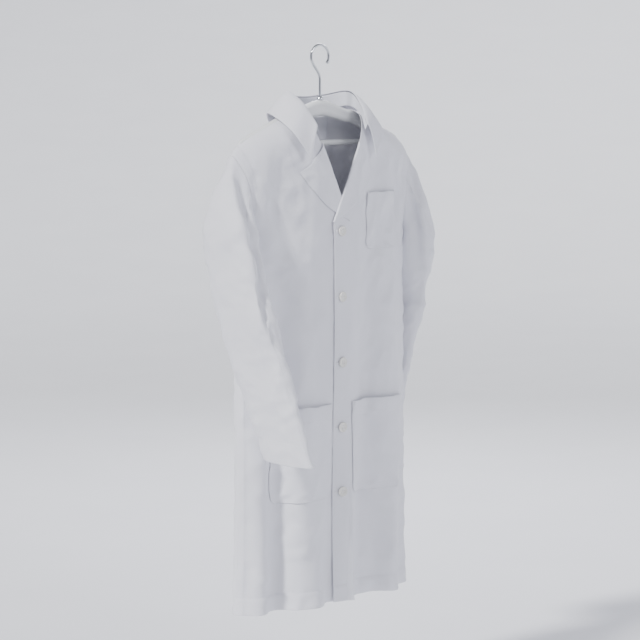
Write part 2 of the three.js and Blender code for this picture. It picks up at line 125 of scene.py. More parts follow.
SHARES = arc_shares(COLUMNS_FRONT)
RISE = 0.5 * np.linspace(0, 1, ROWS_HIGH + 1) + 0.5 * np.sin(np.linspace(0, np.pi / 2, ROWS_HIGH + 1))


def row_height(j, top):
    """The height of row j in a column whose cloth ends at top."""
    high = mix(UNDER[1], top, np.interp(j - ROWS_LOW, np.arange(ROWS_HIGH + 1), RISE))
    return np.where(j < ROWS_LOW, mix(HEM[1], UNDER[1], j / ROWS_LOW), high)


def row_ends(j):
    """Where row j of a front starts and stops: at the opening, and at the side seam or armhole."""
    return opening_x(row_height(j, NECK[1])), side_x(row_height(j, TIP[1]))


def front_grid():
    share, j = SHARES[:, None], np.arange(ROWS_LOW + ROWS_HIGH + 1)[None, :]
    z = row_height(j, shoulder_z(mix(NECK[0], TIP[0], share)))
    first, last = row_ends(j)
    x = mix(first, last, share)
    return np.stack([x, -depth_at(x, z, FRONT_DEPTH), z], -1)


def back_grid():
    neck_x = np.linspace(0, NECK[0], COLUMNS_NECK + 1)[:-1]
    top_x = np.concatenate([neck_x, mix(NECK[0], TIP[0], SHARES)])[:, None]
    low = mix(HEM[1], UNDER[1], np.linspace(0, 1, ROWS_LOW + 1))[None, :] + 0 * top_x
    top = np.where(top_x < NECK[0], neckline_z(top_x), shoulder_z(top_x))
    z = np.concatenate([low, mix(UNDER[1], top, RISE[None, 1:])], 1)
    x = top_x / TIP[0] * side_x(z)
    return np.stack([x, depth_at(x, z, BACK_DEPTH), z], -1)


# Where each sleeve hangs: its cuff's centre, and how the flat width is turned there.
HANG = {"left": (0.236, 0.088), "right": (0.206, -0.140)}


def sleeve_grid(side, front, back):
    """Rings from the armhole down; each ring runs from the shoulder tip down the front and up the back."""
    ring = np.concatenate([front[-1, ROWS_LOW:][::-1], back[-1, ROWS_LOW + 1 : -1]])
    cuff_x, cuff_y = HANG[side]
    knots_z = np.array([CUFF_Z, (UNDER[1] + CUFF_Z) / 2, UNDER[1], TIP[1]])
    knots_x = np.array([cuff_x, mix(0.254, cuff_x, 0.4), 0.254, 0.246])
    knots_y = np.array([cuff_y, cuff_y * 0.62, cuff_y * 0.2, 0])
    inward = (TIP[1] - ring[:, 2]) / (TIP[1] - UNDER[1])
    half = np.arccos(np.clip(1 - 2 * inward, -1, 1))
    around = np.where(np.arange(len(ring)) <= ROWS_HIGH, half, 2 * np.pi - half)
    rows = []
    for v in np.linspace(0, 1, ROWS_SLEEVE + 1):
        z = mix(ring[:, 2], CUFF_Z, v)
        along = np.clip((TIP[1] - z) / (TIP[1] - CUFF_Z), 0, 1)
        low = smooth((along - 0.3) / 0.7)
        cubic = [np.polyfit(knots_z, k, 3) for k in (knots_x, knots_y)]
        x = np.polyval(cubic[0], z) + mix(0.028, 0.020, low) * np.cos(around)
        y = np.polyval(cubic[1], z) - mix(0.084, 0.068, low) * np.sin(around)
        settle_in = np.sin(np.pi / 2 * np.clip(v / 0.3, 0, 1))
        rows.append(np.stack([mix(ring[:, 0], x, settle_in), mix(ring[:, 1], y, settle_in), z], -1))
    return np.stack(rows, 1)


MIRROR = np.array([-1.0, 1.0, 1.0])


def shell():
    """Every patch of the unsettled coat, as grids of points."""
    front, back = front_grid(), back_grid()
    return {
        "front_left": front,
        "front_right": front * MIRROR,
        "back_left": back,
        "back_right": back * MIRROR,
        "sleeve_left": sleeve_grid("left", front, back),
        "sleeve_right": sleeve_grid("right", front, back) * MIRROR,
    }


def weld(patches):
    """One list of points for all the patches, and each patch's grid of indices into it."""
    points = np.concatenate([p.reshape(-1, 3) for p in patches.values()])
    _, first, index = np.unique(np.round(points, 5), axis=0, return_index=True, return_inverse=True)
    index = index.reshape(-1)
    grids, at = {}, 0
    for name, p in patches.items():
        n = p.shape[0] * p.shape[1]
        grids[name] = index[at : at + n].reshape(p.shape[:2])
        at += n
    return points[first], grids


def quads(grid, wrap=False):
    a = np.concatenate([grid, grid[:1]]) if wrap else grid
    return np.stack([a[:-1, :-1], a[1:, :-1], a[1:, 1:], a[:-1, 1:]], -1).reshape(-1, 4)


def ripple(points):
    """Small folds that start the cloth's own, growing towards the hem."""
    x, y, z = points.T
    low = smooth((-0.25 - z) / 0.8)
    back = y > 0
    wave = np.sin(2 * np.pi * (x + 0.03 * z) / 0.118 + np.where(back, 0.4, 1.9))
    wave += 0.5 * np.sin(2 * np.pi * (x - 0.05 * z) / 0.071 + 2.2)
    push = np.where(back, 1, -1) * wave * 0.008 * low
    torso = np.abs(x) < side_x(z) + 0.001
    moved = points.copy()
    moved[:, 1] += np.where(torso, push * np.clip(np.abs(y) / 0.03, 0, 1), 0)
    return moved


def cut_size(points, grids):
    """The coat's cut size: wider than the slim shape it hangs in, so that the spare cloth folds."""
    cut = points.copy()
    spare = 0.15 * smooth((-0.20 - points[:, 2]) / 0.65)[:, None]
    cut[:, :2] *= 1 + spare
    for side in ("left", "right"):
        ids = grids["sleeve_" + side][:, 1:]
        centre = points[ids].mean(0)
        wide = 1 + 0.05 * smooth(np.arange(1, ROWS_SLEEVE + 1) / 8)[None, :, None]
        cut[ids] = centre[None] + (points[ids] - centre[None]) * wide
        cut[ids, 2] = points[ids, 2]
    return cut


def settle(points, cut, faces, pins, firm, frames=50):
    """Blender's cloth, hung from the pinned points with the cut size as its rest size."""
    mesh = bpy.data.meshes.new("shell")
    mesh.from_pydata(points.tolist(), [], faces.tolist())
    obj = bpy.data.objects.new("shell", mesh)
    bpy.context.scene.collection.objects.link(obj)
    obj.shape_key_add(name="hung")
    key = obj.shape_key_add(name="cut")
    key.data.foreach_set("co", cut.astype(np.float32).ravel())
    for name, weights in (("pins", pins), ("firm", firm)):
        group = obj.vertex_groups.new(name=name)
        for i in np.nonzero(weights > 0.001)[0]:
            group.add([int(i)], float(weights[i]), "REPLACE")
    cloth = obj.modifiers.new("cloth", "CLOTH")
    s = cloth.settings
    s.quality = 8
    s.mass = 0.15
    s.air_damping = 3
    s.tension_stiffness = s.compression_stiffness = 40
    s.shear_stiffness = 12
    s.bending_stiffness = 1.2
    s.bending_stiffness_max = 30
    s.vertex_group_bending = "firm"
    s.tension_damping = s.compression_damping = 10
    s.shear_damping = 5
    s.bending_damping = 1
    s.vertex_group_mass = "pins"
    s.pin_stiffness = 1
    s.rest_shape_key = key
    cloth.collision_settings.use_collision = False
    cloth.collision_settings.use_self_collision = False
    cloth.point_cache.frame_start = 1
    cloth.point_cache.frame_end = frames
    scene = bpy.context.scene
    for f in range(1, frames + 1):
        scene.frame_set(f)
    done = obj.evaluated_get(bpy.context.evaluated_depsgraph_get())
    out = np.zeros(len(points) * 3, np.float32)
    done.data.vertices.foreach_get("co", out)
    scene.frame_set(1)
    bpy.data.objects.remove(obj)
    return out.reshape(-1, 3).astype(float)


def pin_weights(points, grids):
    x, y, z = points.T
    drop = shoulder_z(np.abs(x)) - z
    pins = 1 - smooth((drop - 0.012) / 0.07)
    roll = np.abs(np.abs(x) - opening_x(z)) + np.where((y < 0) & (z > BREAK_Z), 0, 1)
    pins = np.maximum(pins, 0.6 * (1 - smooth(roll / 0.05)))
    for side in ("left", "right"):
        ids = grids["sleeve_" + side]
        down = np.arange(ROWS_SLEEVE + 1)[None, :] + 0 * ids
        pins[ids] = np.where(down == 0, pins[ids], mix(0.03, 0.30, down / ROWS_SLEEVE))
    return pins


def laplace(points, faces, rounds, share=0.5):
    """Evens the points out by a share at each round, leaving edges of the cloth where they are."""
    edges = np.concatenate([faces[:, [0, 1]], faces[:, [1, 2]], faces[:, [2, 3]], faces[:, [3, 0]]])
    pairs, count = np.unique(np.sort(edges, 1), axis=0, return_counts=True)
    rim = np.zeros(len(points), bool)
    rim[pairs[count == 1].ravel()] = True
    degree = np.bincount(pairs.ravel(), minlength=len(points))[:, None]
    for _ in range(rounds):
        total = np.zeros_like(points)
        np.add.at(total, pairs[:, 0], points[pairs[:, 1]])
        np.add.at(total, pairs[:, 1], points[pairs[:, 0]])
        points = np.where(rim[:, None], points, mix(points, total / degree, share))
    return points


def settled_patches():
    patches = shell()
    points, grids = weld(patches)
    faces = np.concatenate([quads(g, wrap=name.startswith("sleeve")) for name, g in grids.items()])
    x, y, z = points.T
    firm = 1 - smooth((np.abs(x) - 0.03) / 0.03) * 1.0
    firm = np.where(y < 0, firm, 0) + 0.3 * smooth((HEM[1] + 0.04 - z) / 0.03)
    start = ripple(points)
    start = settle(start, cut_size(points, grids), faces, pin_weights(points, grids), np.clip(firm, 0, 1))
    start = laplace(start, faces, 2)
    tip = np.hypot(np.abs(start[:, 0]) - TIP[0], start[:, 2] - TIP[1] + 0.012)
    start = laplace(start, faces, 9, 0.8 * (1 - smooth(tip / 0.055))[:, None])
    return {name: start[g] for name, g in grids.items()}


# ---- Reading the settled cloth between its grid points ----
class Surface:
    """A settled patch; at() runs straight on past the patch's edges."""

    def __init__(self, grid, wrap=False, fine=1):
        self.cells = (grid.shape[0] if wrap else grid.shape[0] - 1, grid.shape[1] - 1)
        self.size = (self.cells[0] // fine, self.cells[1] // fine)
        self.wrap, self.fine = wrap, fine
        ends = (grid[-1:], grid[:2]) if wrap else (2 * grid[:1] - grid[1:2], 2 * grid[-1:] - grid[-2:-1])
        g = np.concatenate([ends[0], grid, ends[1]])
        self.grid = np.concatenate([2 * g[:, :1] - g[:, 1:2], g, 2 * g[:, -1:] - g[:, -2:-1]], 1)

    def _cubic(self, i, j):
        i, j = i * self.fine, j * self.fine
        i = np.mod(i, self.cells[0]) if self.wrap else i
        i0 = np.clip(np.floor(i), 0, self.cells[0] - 1).astype(int)
        j0 = np.clip(np.floor(j), 0, self.cells[1] - 1).astype(int)
        total = 0
        for a, wa in enumerate(catmull(i - i0)):
            for b, wb in enumerate(catmull(j - j0)):
                total = total + self.grid[i0 + a, j0 + b] * (wa * wb)[..., None]
        return total

    def at(self, i, j):
        i, j = np.broadcast_arrays(np.asarray(i, float), np.asarray(j, float))
        ic = i if self.wrap else np.clip(i, 0, self.size[0])
        jc = np.clip(j, 0, self.size[1])
        base = self._cubic(ic, jc)
        e = 0.2
        if not self.wrap and np.any(i != ic):
            inside = np.where(i < ic, ic + e, ic - e)
            step = (self._cubic(inside, jc) - base) / (inside - ic)[..., None]
            base = base + step * (i - ic)[..., None]
        if np.any(j != jc):
            inside = np.where(j < jc, jc + e, jc - e)
            step = (self._cubic(ic, inside) - self._cubic(ic, jc)) / (inside - jc)[..., None]
            base = base + step * (j - jc)[..., None]
        return base

    def normal(self, i, j):
        e = 0.35
        i, j = np.broadcast_arrays(np.asarray(i, float), np.asarray(j, float))
        n = np.cross(self.at(i + e, j) - self.at(i - e, j), self.at(i, j + e) - self.at(i, j - e))
        return n / np.maximum(np.linalg.norm(n, axis=-1, keepdims=True), 1e-9)


def catmull(t):
    return (
        0.5 * (-t + 2 * t * t - t**3),
        0.5 * (2 - 5 * t * t + 3 * t**3),
        0.5 * (t + 4 * t * t - 3 * t**3),
        0.5 * (-t * t + t**3),
    )


SIGN = {"left": 1, "right": -1}


def rough(points, scale, shift):
    """Smooth noise from -1 to 1 at the points, stretched by a scale along each axis."""
    q = points.reshape(-1, 3) * np.array(scale) + shift
    return np.array([noise.noise(Vector(v)) for v in q.tolist()]).reshape(points.shape[:-1])


def creases(points, is_sleeve):
    """How far the cloth's small folds and laundering creases stand off the broad shape."""
    x, y, z = (points[..., k] for k in range(3))
    ridge = 1 - np.abs(rough(points, (26, 26, 15), 4.1))
    slanted = points @ np.array([[1, 0, 0.6], [0, 1, 0.4], [-0.6, -0.4, 1]])
    sharp = 1 - np.abs(rough(slanted, (17, 17, 24), 9.7))
    height = 0.0030 * (ridge**5 - 0.35) + 0.0030 * (sharp**7 - 0.25)
    height = height + mix(0.0026, 0.0060, smooth((-0.3 - z) / 0.5)) * rough(points, (15, 15, 3), 1.3)
    if is_sleeve:
        slant = np.stack([x * 9, (y + 0.8 * z) * 17, (z - 0.5 * y) * 8], -1)
        elbow = np.exp(-(((z + 0.52) / 0.09) ** 2)) + 0.7 * np.exp(-(((z + 0.36) / 0.07) ** 2))
        height = height + 0.0058 * rough(slant, (1, 1, 1), 2.7) * (0.2 + elbow)
    else:
        drag = np.stack([(np.abs(x) - 0.6 * z) * 21, (z + 0.4 * np.abs(x)) * 6, y * 8], -1)
        high = np.exp(-(((z + 0.40) / 0.13) ** 2)) * smooth((np.abs(x) - 0.05) / 0.12)
        height = height + 0.0065 * rough(drag, (1, 1, 1), 5.9) * high
        height = height * mix(0.45, 1.0, smooth((np.abs(x) - 0.02) / 0.07))
        height = height * smooth((shoulder_z(np.abs(x)) - z) / 0.09)
    return height


def creased(name, patch, fine=3):
    """The settled patch with its small creases, which run out at the seams."""
    wrap = name.startswith("sleeve")
    s = Surface(patch, wrap)
    count = s.size[0] * fine
    i = np.arange(count if wrap else count + 1)[:, None] / fine
    j = np.arange(s.size[1] * fine + 1)[None, :] / fine
    i, j = np.broadcast_arrays(i, j)
    outward = SIGN[name.split("_")[1]] * (-1 if name.startswith("back") else 1)
    near = j if wrap else np.minimum(np.minimum(i, s.size[0] - i), s.size[1] - j)
    points = s.at(i, j)
    height = creases(points, wrap) * smooth(near / 1.6) * outward
    return Surface(points + s.normal(i, j) * height[..., None], wrap, fine)


surfaces = {name: creased(name, p) for name, p in settled_patches().items()}


def rows_of(z, top):
    """The patch row at height z, in a column whose cloth ends at top."""
    high = (z - UNDER[1]) / (top - UNDER[1])
    above = np.interp(high, RISE, np.arange(ROWS_HIGH + 1)) + np.maximum(high - 1, 0) * ROWS_HIGH
    below = (z - HEM[1]) / (UNDER[1] - HEM[1]) * ROWS_LOW
    return np.where(z < UNDER[1], below, ROWS_LOW + above)


def columns_of(share):
    """The patch column at a share of the half width; below 0 it runs on at the centre's spacing."""
    inside = np.interp(share, SHARES, np.arange(COLUMNS_FRONT + 1))
    return np.where(share < 0, share / SHARES[1], inside)


def front(side, x, z, lift=0.0):
    """A point on one front: x is measured from the centre line towards that front's own side."""
    x, z = np.broadcast_arrays(np.asarray(x, float), np.asarray(z, float))
    share = (x - opening_x(z)) / (side_x(z) - opening_x(z))
    for _ in range(5):
        j = rows_of(z, shoulder_z(mix(NECK[0], TIP[0], np.clip(share, 0, 1))))
        first, last = row_ends(j)
        share = (x - first) / (last - first)
    s = surfaces["front_" + side]
    i = columns_of(share)
    return s.at(i, j) + s.normal(i, j) * SIGN[side] * np.asarray(lift)[..., None]


def back(x, z, lift=0.0):
    """A point on the back, with x running from one side of the coat to the other."""
    x, z = np.broadcast_arrays(np.asarray(x, float), np.asarray(z, float))
    top_x = np.abs(x) / side_x(z) * TIP[0]
    i = np.where(
        top_x < NECK[0],
        top_x / NECK[0] * COLUMNS_NECK,
        COLUMNS_NECK + columns_of((top_x - NECK[0]) / (TIP[0] - NECK[0])),
    )
    j = rows_of(z, np.where(top_x < NECK[0], neckline_z(top_x), shoulder_z(top_x)))
    left, right = surfaces["back_left"], surfaces["back_right"]
    lift = np.asarray(lift)[..., None]
    on_left = left.at(i, j) - left.normal(i, j) * lift
    on_right = right.at(i, j) + right.normal(i, j) * lift
    return np.where((x >= 0)[..., None], on_left, on_right)


def sleeve(side, u, v, lift=0.0):
    """u runs once round the sleeve from the underarm seam, v from the armhole down to the cuff."""
    s = surfaces["sleeve_" + side]
    u, v = np.broadcast_arrays(np.asarray(u, float), np.asarray(v, float))
    i, j = (u + 0.5) * s.size[0], v * s.size[1]
    return s.at(i, j) + s.normal(i, j) * SIGN[side] * np.asarray(lift)[..., None]


def lap_level(side, x):
    """How far a front's layers stand off the settled surface, where the fronts lap."""
    level = 1.5 * PLY if side == "left" else -0.5 * PLY
    return level * (1 - smooth((x - LAP) / 0.06))


def share_at(i):
    """The share of the half width at a front's column i."""
    return np.where(i < 0, i * SHARES[1], np.interp(i, np.arange(COLUMNS_FRONT + 1), SHARES))


def roll_x(z):
    """The line where a front's edge turns over into its lapel."""
    return mix(-LAP, NECK[0], np.clip((z - BREAK_Z) / (NECK[1] - BREAK_Z), 0, 1))


# ---- Finishes ----
def colour(code):
    """An sRGB hex code as linear light."""
    parts = [int(code[k : k + 2], 16) / 255 for k in (1, 3, 5)]
    return tuple(c / 12.92 if c <= 0.04045 else ((c + 0.055) / 1.055) ** 2.4 for c in parts) + (1.0,)


def node(tree, kind, inputs, **settings):
    """Adds one node with its settings; an input is a value or another node's output."""
    n = tree.nodes.new(kind)
    for key, value in settings.items():
        setattr(n, key, value)
    for key, value in inputs.items():
        if isinstance(value, bpy.types.NodeSocket):
            tree.links.new(value, n.inputs[key])
        else:
            n.inputs[key].default_value = value
    return n


def finish_named(name):
    material = bpy.data.materials.new(name)
    material.use_nodes = True
    tree = material.node_tree
    tree.nodes.clear()
    return material, tree


def shade(tree, **sockets):
    shader = node(tree, "ShaderNodeBsdfPrincipled", {k.replace("_", " "): v for k, v in sockets.items()})
    node(tree, "ShaderNodeOutputMaterial", {"Surface": shader.outputs[0]})


def twill(name, light, dark, rib=0.0020, rib_depth=0.00010, crease=0.0011):
    """Polyester and cotton twill, laundered and tumbled: fine slanting ribs, soft creases, a matt bloom.
    The ribs are 2 mm apart, about three times their real spacing, so that they can show."""
    material, tree = finish_named(name)
    cut = node(tree, "ShaderNodeUVMap", {}, uv_map="cut").outputs["UV"]
    slant = node(tree, "ShaderNodeMapping", {"Vector": cut, "Rotation": (0, 0, math.radians(-27))}).outputs[0]
    ribs = node(
        tree,
        "ShaderNodeTexWave",
        {"Vector": slant, "Scale": math.pi / 10 / rib, "Distortion": 0.5, "Detail": 2.0, "Detail Scale": 0.6},
    ).outputs["Fac"]
    long = node(tree, "ShaderNodeMapping", {"Vector": cut, "Scale": (1.0, 0.22, 1.0)}).outputs[0]
    slubs = node(tree, "ShaderNodeTexNoise", {"Vector": long, "Scale": 420.0, "Detail": 2.0}).outputs["Fac"]
    soft = node(
        tree, "ShaderNodeTexNoise", {"Vector": cut, "Scale": 15.0, "Detail": 3.0, "Roughness": 0.45, "Distortion": 0.5}
    ).outputs["Fac"]
    drape = node(tree, "ShaderNodeMapping", {"Vector": cut, "Scale": (1.0, 0.35, 1.0)}).outputs[0]
    folds = node(tree, "ShaderNodeTexNoise", {"Vector": drape, "Scale": 32.0, "Detail": 2.0}).outputs["Fac"]
    bump = node(tree, "ShaderNodeBump", {"Height": soft, "Distance": 3 * crease, "Strength": 0.5}).outputs[0]
    bump = node(
        tree, "ShaderNodeBump", {"Height": folds, "Distance": crease, "Strength": 0.5, "Normal": bump}
    ).outputs[0]
    bump = node(
        tree, "ShaderNodeBump", {"Height": slubs, "Distance": rib_depth, "Strength": 0.5, "Normal": bump}
    ).outputs[0]
    bump = node(
        tree, "ShaderNodeBump", {"Height": ribs, "Distance": rib_depth, "Strength": 0.7, "Normal": bump}
    ).outputs[0]
    tint = node(
        tree, "ShaderNodeMix", {"Factor": soft, 6: colour(light), 7: colour(dark)}, data_type="RGBA"
    ).outputs[2]
    worn = node(tree, "ShaderNodeMapRange", {"Value": slubs, "To Min": 0.80, "To Max": 0.95}).outputs[0]
    shade(tree, Base_Color=tint, Roughness=worn, Normal=bump, Sheen_Weight=0.15, Sheen_Roughness=0.5, IOR=1.5)
    return material


def plain(name, light, dark, rough, spread, grain, depth, **sockets):
    """A finish with a fine even grain: grain is its size and depth its height, in metres."""
    material, tree = finish_named(name)
    place = node(tree, "ShaderNodeTexCoord", {}).outputs["Object"]
    fine = node(tree, "ShaderNodeTexNoise", {"Vector": place, "Scale": 1 / grain, "Detail": 3.0}).outputs["Fac"]
    broad = node(tree, "ShaderNodeTexNoise", {"Vector": place, "Scale": 40.0, "Detail": 2.0}).outputs["Fac"]
    bump = node(tree, "ShaderNodeBump", {"Height": fine, "Distance": depth, "Strength": 0.5}).outputs[0]
    tint = node(
        tree, "ShaderNodeMix", {"Factor": broad, 6: colour(light), 7: colour(dark)}, data_type="RGBA"
    ).outputs[2]
    gloss = node(
        tree, "ShaderNodeMapRange", {"Value": broad, "To Min": rough - spread, "To Max": rough + spread}
    ).outputs[0]
    shade(tree, Base_Color=tint, Roughness=gloss, Normal=bump, **sockets)
    return material


COAT_CLOTH = twill("white twill, laundered", "#EAEAF0", "#E2E2EA")
# The same twill's inside face has shallower ribs. Its tone is darker than the coat's own as painted shade, for the
# facings, neck facing, collar stand and cuff turnings that sit inside or under the outer cloth.
SHADED_INSIDE_TWILL = twill("white twill, inside face, painted shade", "#E4E5EC", "#DCDDE6", rib_depth=0.00006)
# Spun polyester sewing thread: round, a little brighter than the cloth and faintly glossy.
THREAD = plain("polyester sewing thread", "#F6F6F8", "#EDEEF2", 0.55, 0.08, 0.0006, 0.00004, Sheen_Weight=0.1)
# Cast polyester resin, tumbled to a polish: pearly, with soft clouds and a clear top.
RESIN = plain(
    "pearl polyester resin, tumbled", "#F4F2EC", "#DEDCD6", 0.22, 0.07, 0.004, 0.00003,
    Coat_Weight=0.4, Coat_Roughness=0.12, IOR=1.55,
)
# Bright nickel-chrome plate on drawn steel wire: mirror-like, with faint drawing marks.
CHROME = plain(
    "bright chrome plate on steel wire", "#D9DBDE", "#C4C7CB", 0.13, 0.05, 0.0008, 0.00002, Metallic=1.0
)
# Injection-moulded polypropylene: milky satin with the mould's light grain.
MOULDED = plain("moulded polypropylene, satin", "#EEEFEF", "#E2E4E5", 0.42, 0.08, 0.0009, 0.00005, IOR=1.49)
# Woven satin label and cotton herringbone tape: slightly warmer than the coat.
LABEL_TAPE = twill(
    "woven satin label, blank", "#F7F5EF", "#EFECE4", rib=0.0012, rib_depth=0.00005, crease=0.0003
)
LOOP_TAPE = twill(
    "cotton tape, herringbone", "#EDEBE4", "#E2E0D8", rib=0.0014, rib_depth=0.00016, crease=0.0003
)


# ---- Turning points into pieces ----
def link(name, points, faces, material, uv=None):
    mesh = bpy.data.meshes.new(name)
    mesh.from_pydata(np.asarray(points).tolist(), [], [list(map(int, f)) for f in faces])
    mesh.update()
    obj = bpy.data.objects.new(name, mesh)
    bpy.context.scene.collection.objects.link(obj)
    mesh.materials.append(material)
    mesh.polygons.foreach_set("use_smooth", [True] * len(mesh.polygons))
    if uv is not None:
        layer = mesh.uv_layers.new(name="cut")
        corners = np.zeros(len(mesh.loops), int)
        mesh.loops.foreach_get("vertex_index", corners)
        layer.data.foreach_set("uv", np.asarray(uv, np.float32)[corners].ravel())
    return obj


cuts = {}  # each cloth piece's cut width, length and area


def lines(n, length, extra=(), rim=0.0010):
    """Even steps from 0 to 1, one more just inside each end for the rounded edge, and any extra ones."""
    r = min(0.3 / n, rim / max(length, 1e-6))
    return np.unique(np.round(np.concatenate([[0, r], np.linspace(0, 1, n + 1)[1:-1], [1 - r, 1], extra]), 5))


def along(points):
    """Running length down each polyline of the first axis, from 0."""
    steps = np.linalg.norm(np.diff(points, axis=0), axis=-1)
    return np.concatenate([np.zeros((1,) + steps.shape[1:]), np.cumsum(steps, 0)])


def cloth(name, place, cols, rows, material=None, thick=CLOTH, flip=False, u_extra=(), v_extra=()):
    """A closed sheet round the surface place(u, v), with rounded edges and a map of its cut shape."""
    probe = place(*np.meshgrid(np.linspace(0, 1, 9), np.linspace(0, 1, 9), indexing="ij"))
    u = lines(cols, along(probe)[-1].max(), u_extra)
    v = lines(rows, along(np.swapaxes(probe, 0, 1))[-1].max(), v_extra)
    p = place(*np.meshgrid(u, v, indexing="ij"))
    n = np.cross(np.gradient(p, u, axis=0), np.gradient(p, v, axis=1))
    n /= np.maximum(np.linalg.norm(n, axis=-1, keepdims=True), 1e-12)
    n = -n if flip else n
    half = np.full(p.shape[:2], thick / 2)
    half[[0, -1]] = half[:, [0, -1]] = thick * 0.2
    outer, inner = p + n * half[..., None], p - n * half[..., None]
    count = p.shape[0] * p.shape[1]
    top = quads(np.arange(count).reshape(p.shape[:2]))
    if flip:
        top = top[:, ::-1]
    edges = np.stack([top, np.roll(top, -1, 1)], -1).reshape(-1, 2)
    key, other = edges[:, 0] * count + edges[:, 1], edges[:, 1] * count + edges[:, 0]
    rim = edges[~np.isin(key, other)]
    sides = np.stack([rim[:, 1], rim[:, 0], rim[:, 0] + count, rim[:, 1] + count], -1)
    faces = np.concatenate([top, top[:, ::-1] + count, sides])
    across, down = along(p), np.swapaxes(along(np.swapaxes(p, 0, 1)), 0, 1)
    uv = np.stack([across, down], -1).reshape(-1, 2) + 0.61 * len(cuts)
    points = np.concatenate([outer, inner]).reshape(-1, 3)
    obj = link(name, points, faces, material or COAT_CLOTH, np.tile(uv, (2, 1)))
    cells = np.cross(p[1:, :-1] - p[:-1, :-1], p[:-1, 1:] - p[:-1, :-1])
    cuts[name] = (across[-1].max(), down[:, -1].max(), np.linalg.norm(cells, axis=-1).sum())
    return obj


def tube(name, path, radii, material, sides=14):
    """A round bar along a path, with closed ends where its radius runs out."""
    path, radii = np.asarray(path, float), np.broadcast_to(radii, len(path))
    ahead = np.gradient(path, axis=0)
    ahead /= np.linalg.norm(ahead, axis=1, keepdims=True)
    side = np.cross(ahead[0], (0.3, 0.9, 0.2))
    turn = np.linspace(0, 2 * np.pi, sides, endpoint=False)
    rings = []
    for p, t, r in zip(path, ahead, radii):
        side = side - t * side.dot(t)
        side /= np.linalg.norm(side)
        rings.append(p + r * (np.outer(np.cos(turn), side) + np.outer(np.sin(turn), np.cross(t, side))))
    count = len(path)
    index = np.arange(count * sides).reshape(count, sides)
    around = np.concatenate([index, index[:, :1]], 1)
    faces = np.stack([around[:-1, :-1], around[:-1, 1:], around[1:, 1:], around[1:, :-1]], -1).reshape(-1, 4)
    faces = faces.tolist() + [index[0, ::-1].tolist(), index[-1].tolist()]
    return link(name, np.concatenate(rings), faces, material)


def domed(path, radius, steps=5):
    """A path and radii with rounded ends."""
    path = np.asarray(path, float)
    first, last = path[0] - path[1], path[-1] - path[-2]
    first, last = first / np.linalg.norm(first), last / np.linalg.norm(last)
    turn = np.linspace(0.02, np.pi / 2, steps + 1)[:-1]
    head = [path[0] + first * radius * math.cos(a) for a in turn]
    tail = [path[-1] + last * radius * math.cos(a) for a in turn[::-1]]
    ends = radius * np.sin(turn)
    return np.concatenate([head, path, tail]), np.concatenate([ends, np.full(len(path), radius), ends[::-1]])


# ---- Joints where a piece eases over ----
# On the coat, a front turns about its upright line at the side, and its cloth eases over from the still chest; a
# sleeve eases over from the armhole to the upper arm.
# The script reads only these bodies' names: a piece on one of them has its place baked and is not joined to the body,
# and each entry's two points are not used.
EASE = {
    "front_left": ((0, 0, -0.360), (-0.116, 0, -0.390)),
    "front_right": ((0, 0, -0.360), (0.116, 0, -0.390)),
    "sleeve_left": ((0.216, 0, -0.372), (0.258, 0, -0.690)),
    "sleeve_right": ((-0.216, 0, -0.372), (-0.258, 0, -0.690)),
}


def settle_on(obj, body, slot, *nodes, eased=True):
    """Joins a piece to the body it moves with and hides the frame's parts that it stands for; a piece on an eased body
    has its place baked instead of being joined.
    """
    if body in EASE and eased:
        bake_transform(obj)
    else:
        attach(obj, body)
    if nodes:
        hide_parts(*nodes)
    return obj


def declare(obj, body, *nodes, held="hung", slot="coat_cloth"):
    settle_on(obj, body, slot, *nodes)
    width, length, area = cuts[obj.name]
    area = round(min(area, width * length), 5)


# ---- Sewing ----
seams = {}  # rows of stitches, gathered by the body that they move with


def sew(body, place, corners, flip=False, pitch=0.0032, long=0.0024, out=CLOTH / 2 + 0.0001, thread=0.00028):
    """A row of lock stitches along straight lines between corners of a surface's own (u, v)."""
    corners = np.asarray(corners, float)
    steps = np.linspace(0, len(corners) - 1, 60 * (len(corners) - 1) + 1)
    u, v = (np.interp(steps, np.arange(len(corners)), corners[:, k]) for k in (0, 1))
    p = place(u, v)
    e = 0.004
    n = np.cross(place(u + e, v) - place(u - e, v), place(u, v + e) - place(u, v - e))
    n *= (-1 if flip else 1) / np.maximum(np.linalg.norm(n, axis=-1, keepdims=True), 1e-12)
    run = along(p)
    middle = np.arange(pitch / 2, run[-1], pitch)
    ends = [
        np.stack([np.interp(middle + d, run, (p + n * (out - drop))[:, k]) for k in range(3)], -1)
        for d, drop in ((-long / 2, 0.0002), (-long / 4, 0), (long / 4, 0), (long / 2, 0.0002))
    ]
    up = np.stack([np.interp(middle, run, n[:, k]) for k in range(3)], -1)
    side = np.cross(ends[3] - ends[0], up)
    side /= np.maximum(np.linalg.norm(side, axis=-1, keepdims=True), 1e-12)
    ring = [side * thread, up * thread, -side * thread, -up * thread]
    points = np.stack([ends[0]] + [e + r for e in ends[1:3] for r in ring] + [ends[3]], 1)
    seams.setdefault(body, []).append(points.reshape(-1, 3))


STITCH = (
    [(0, 1 + (k + 1) % 4, 1 + k) for k in range(4)]
    + [(1 + k, 1 + (k + 1) % 4, 5 + (k + 1) % 4, 5 + k) for k in range(4)]
    + [(9, 5 + k, 5 + (k + 1) % 4) for k in range(4)]
)


def finish_seams():
    for body, rows in seams.items():
        points = np.concatenate(rows)
        faces = [[10 * k + i for i in f] for k in range(len(points) // 10) for f in STITCH]
        settle_on(link("stitches_" + body, points, faces, THREAD), body, "coat_cloth")


# ---- The coat's main panels ----
FELL = 0.009  # width of the double cloth along a felled seam
HEM_TURN = 0.032  # depth of the hem turned up inside
STEP = 0.0006  # how far double cloth stands proud


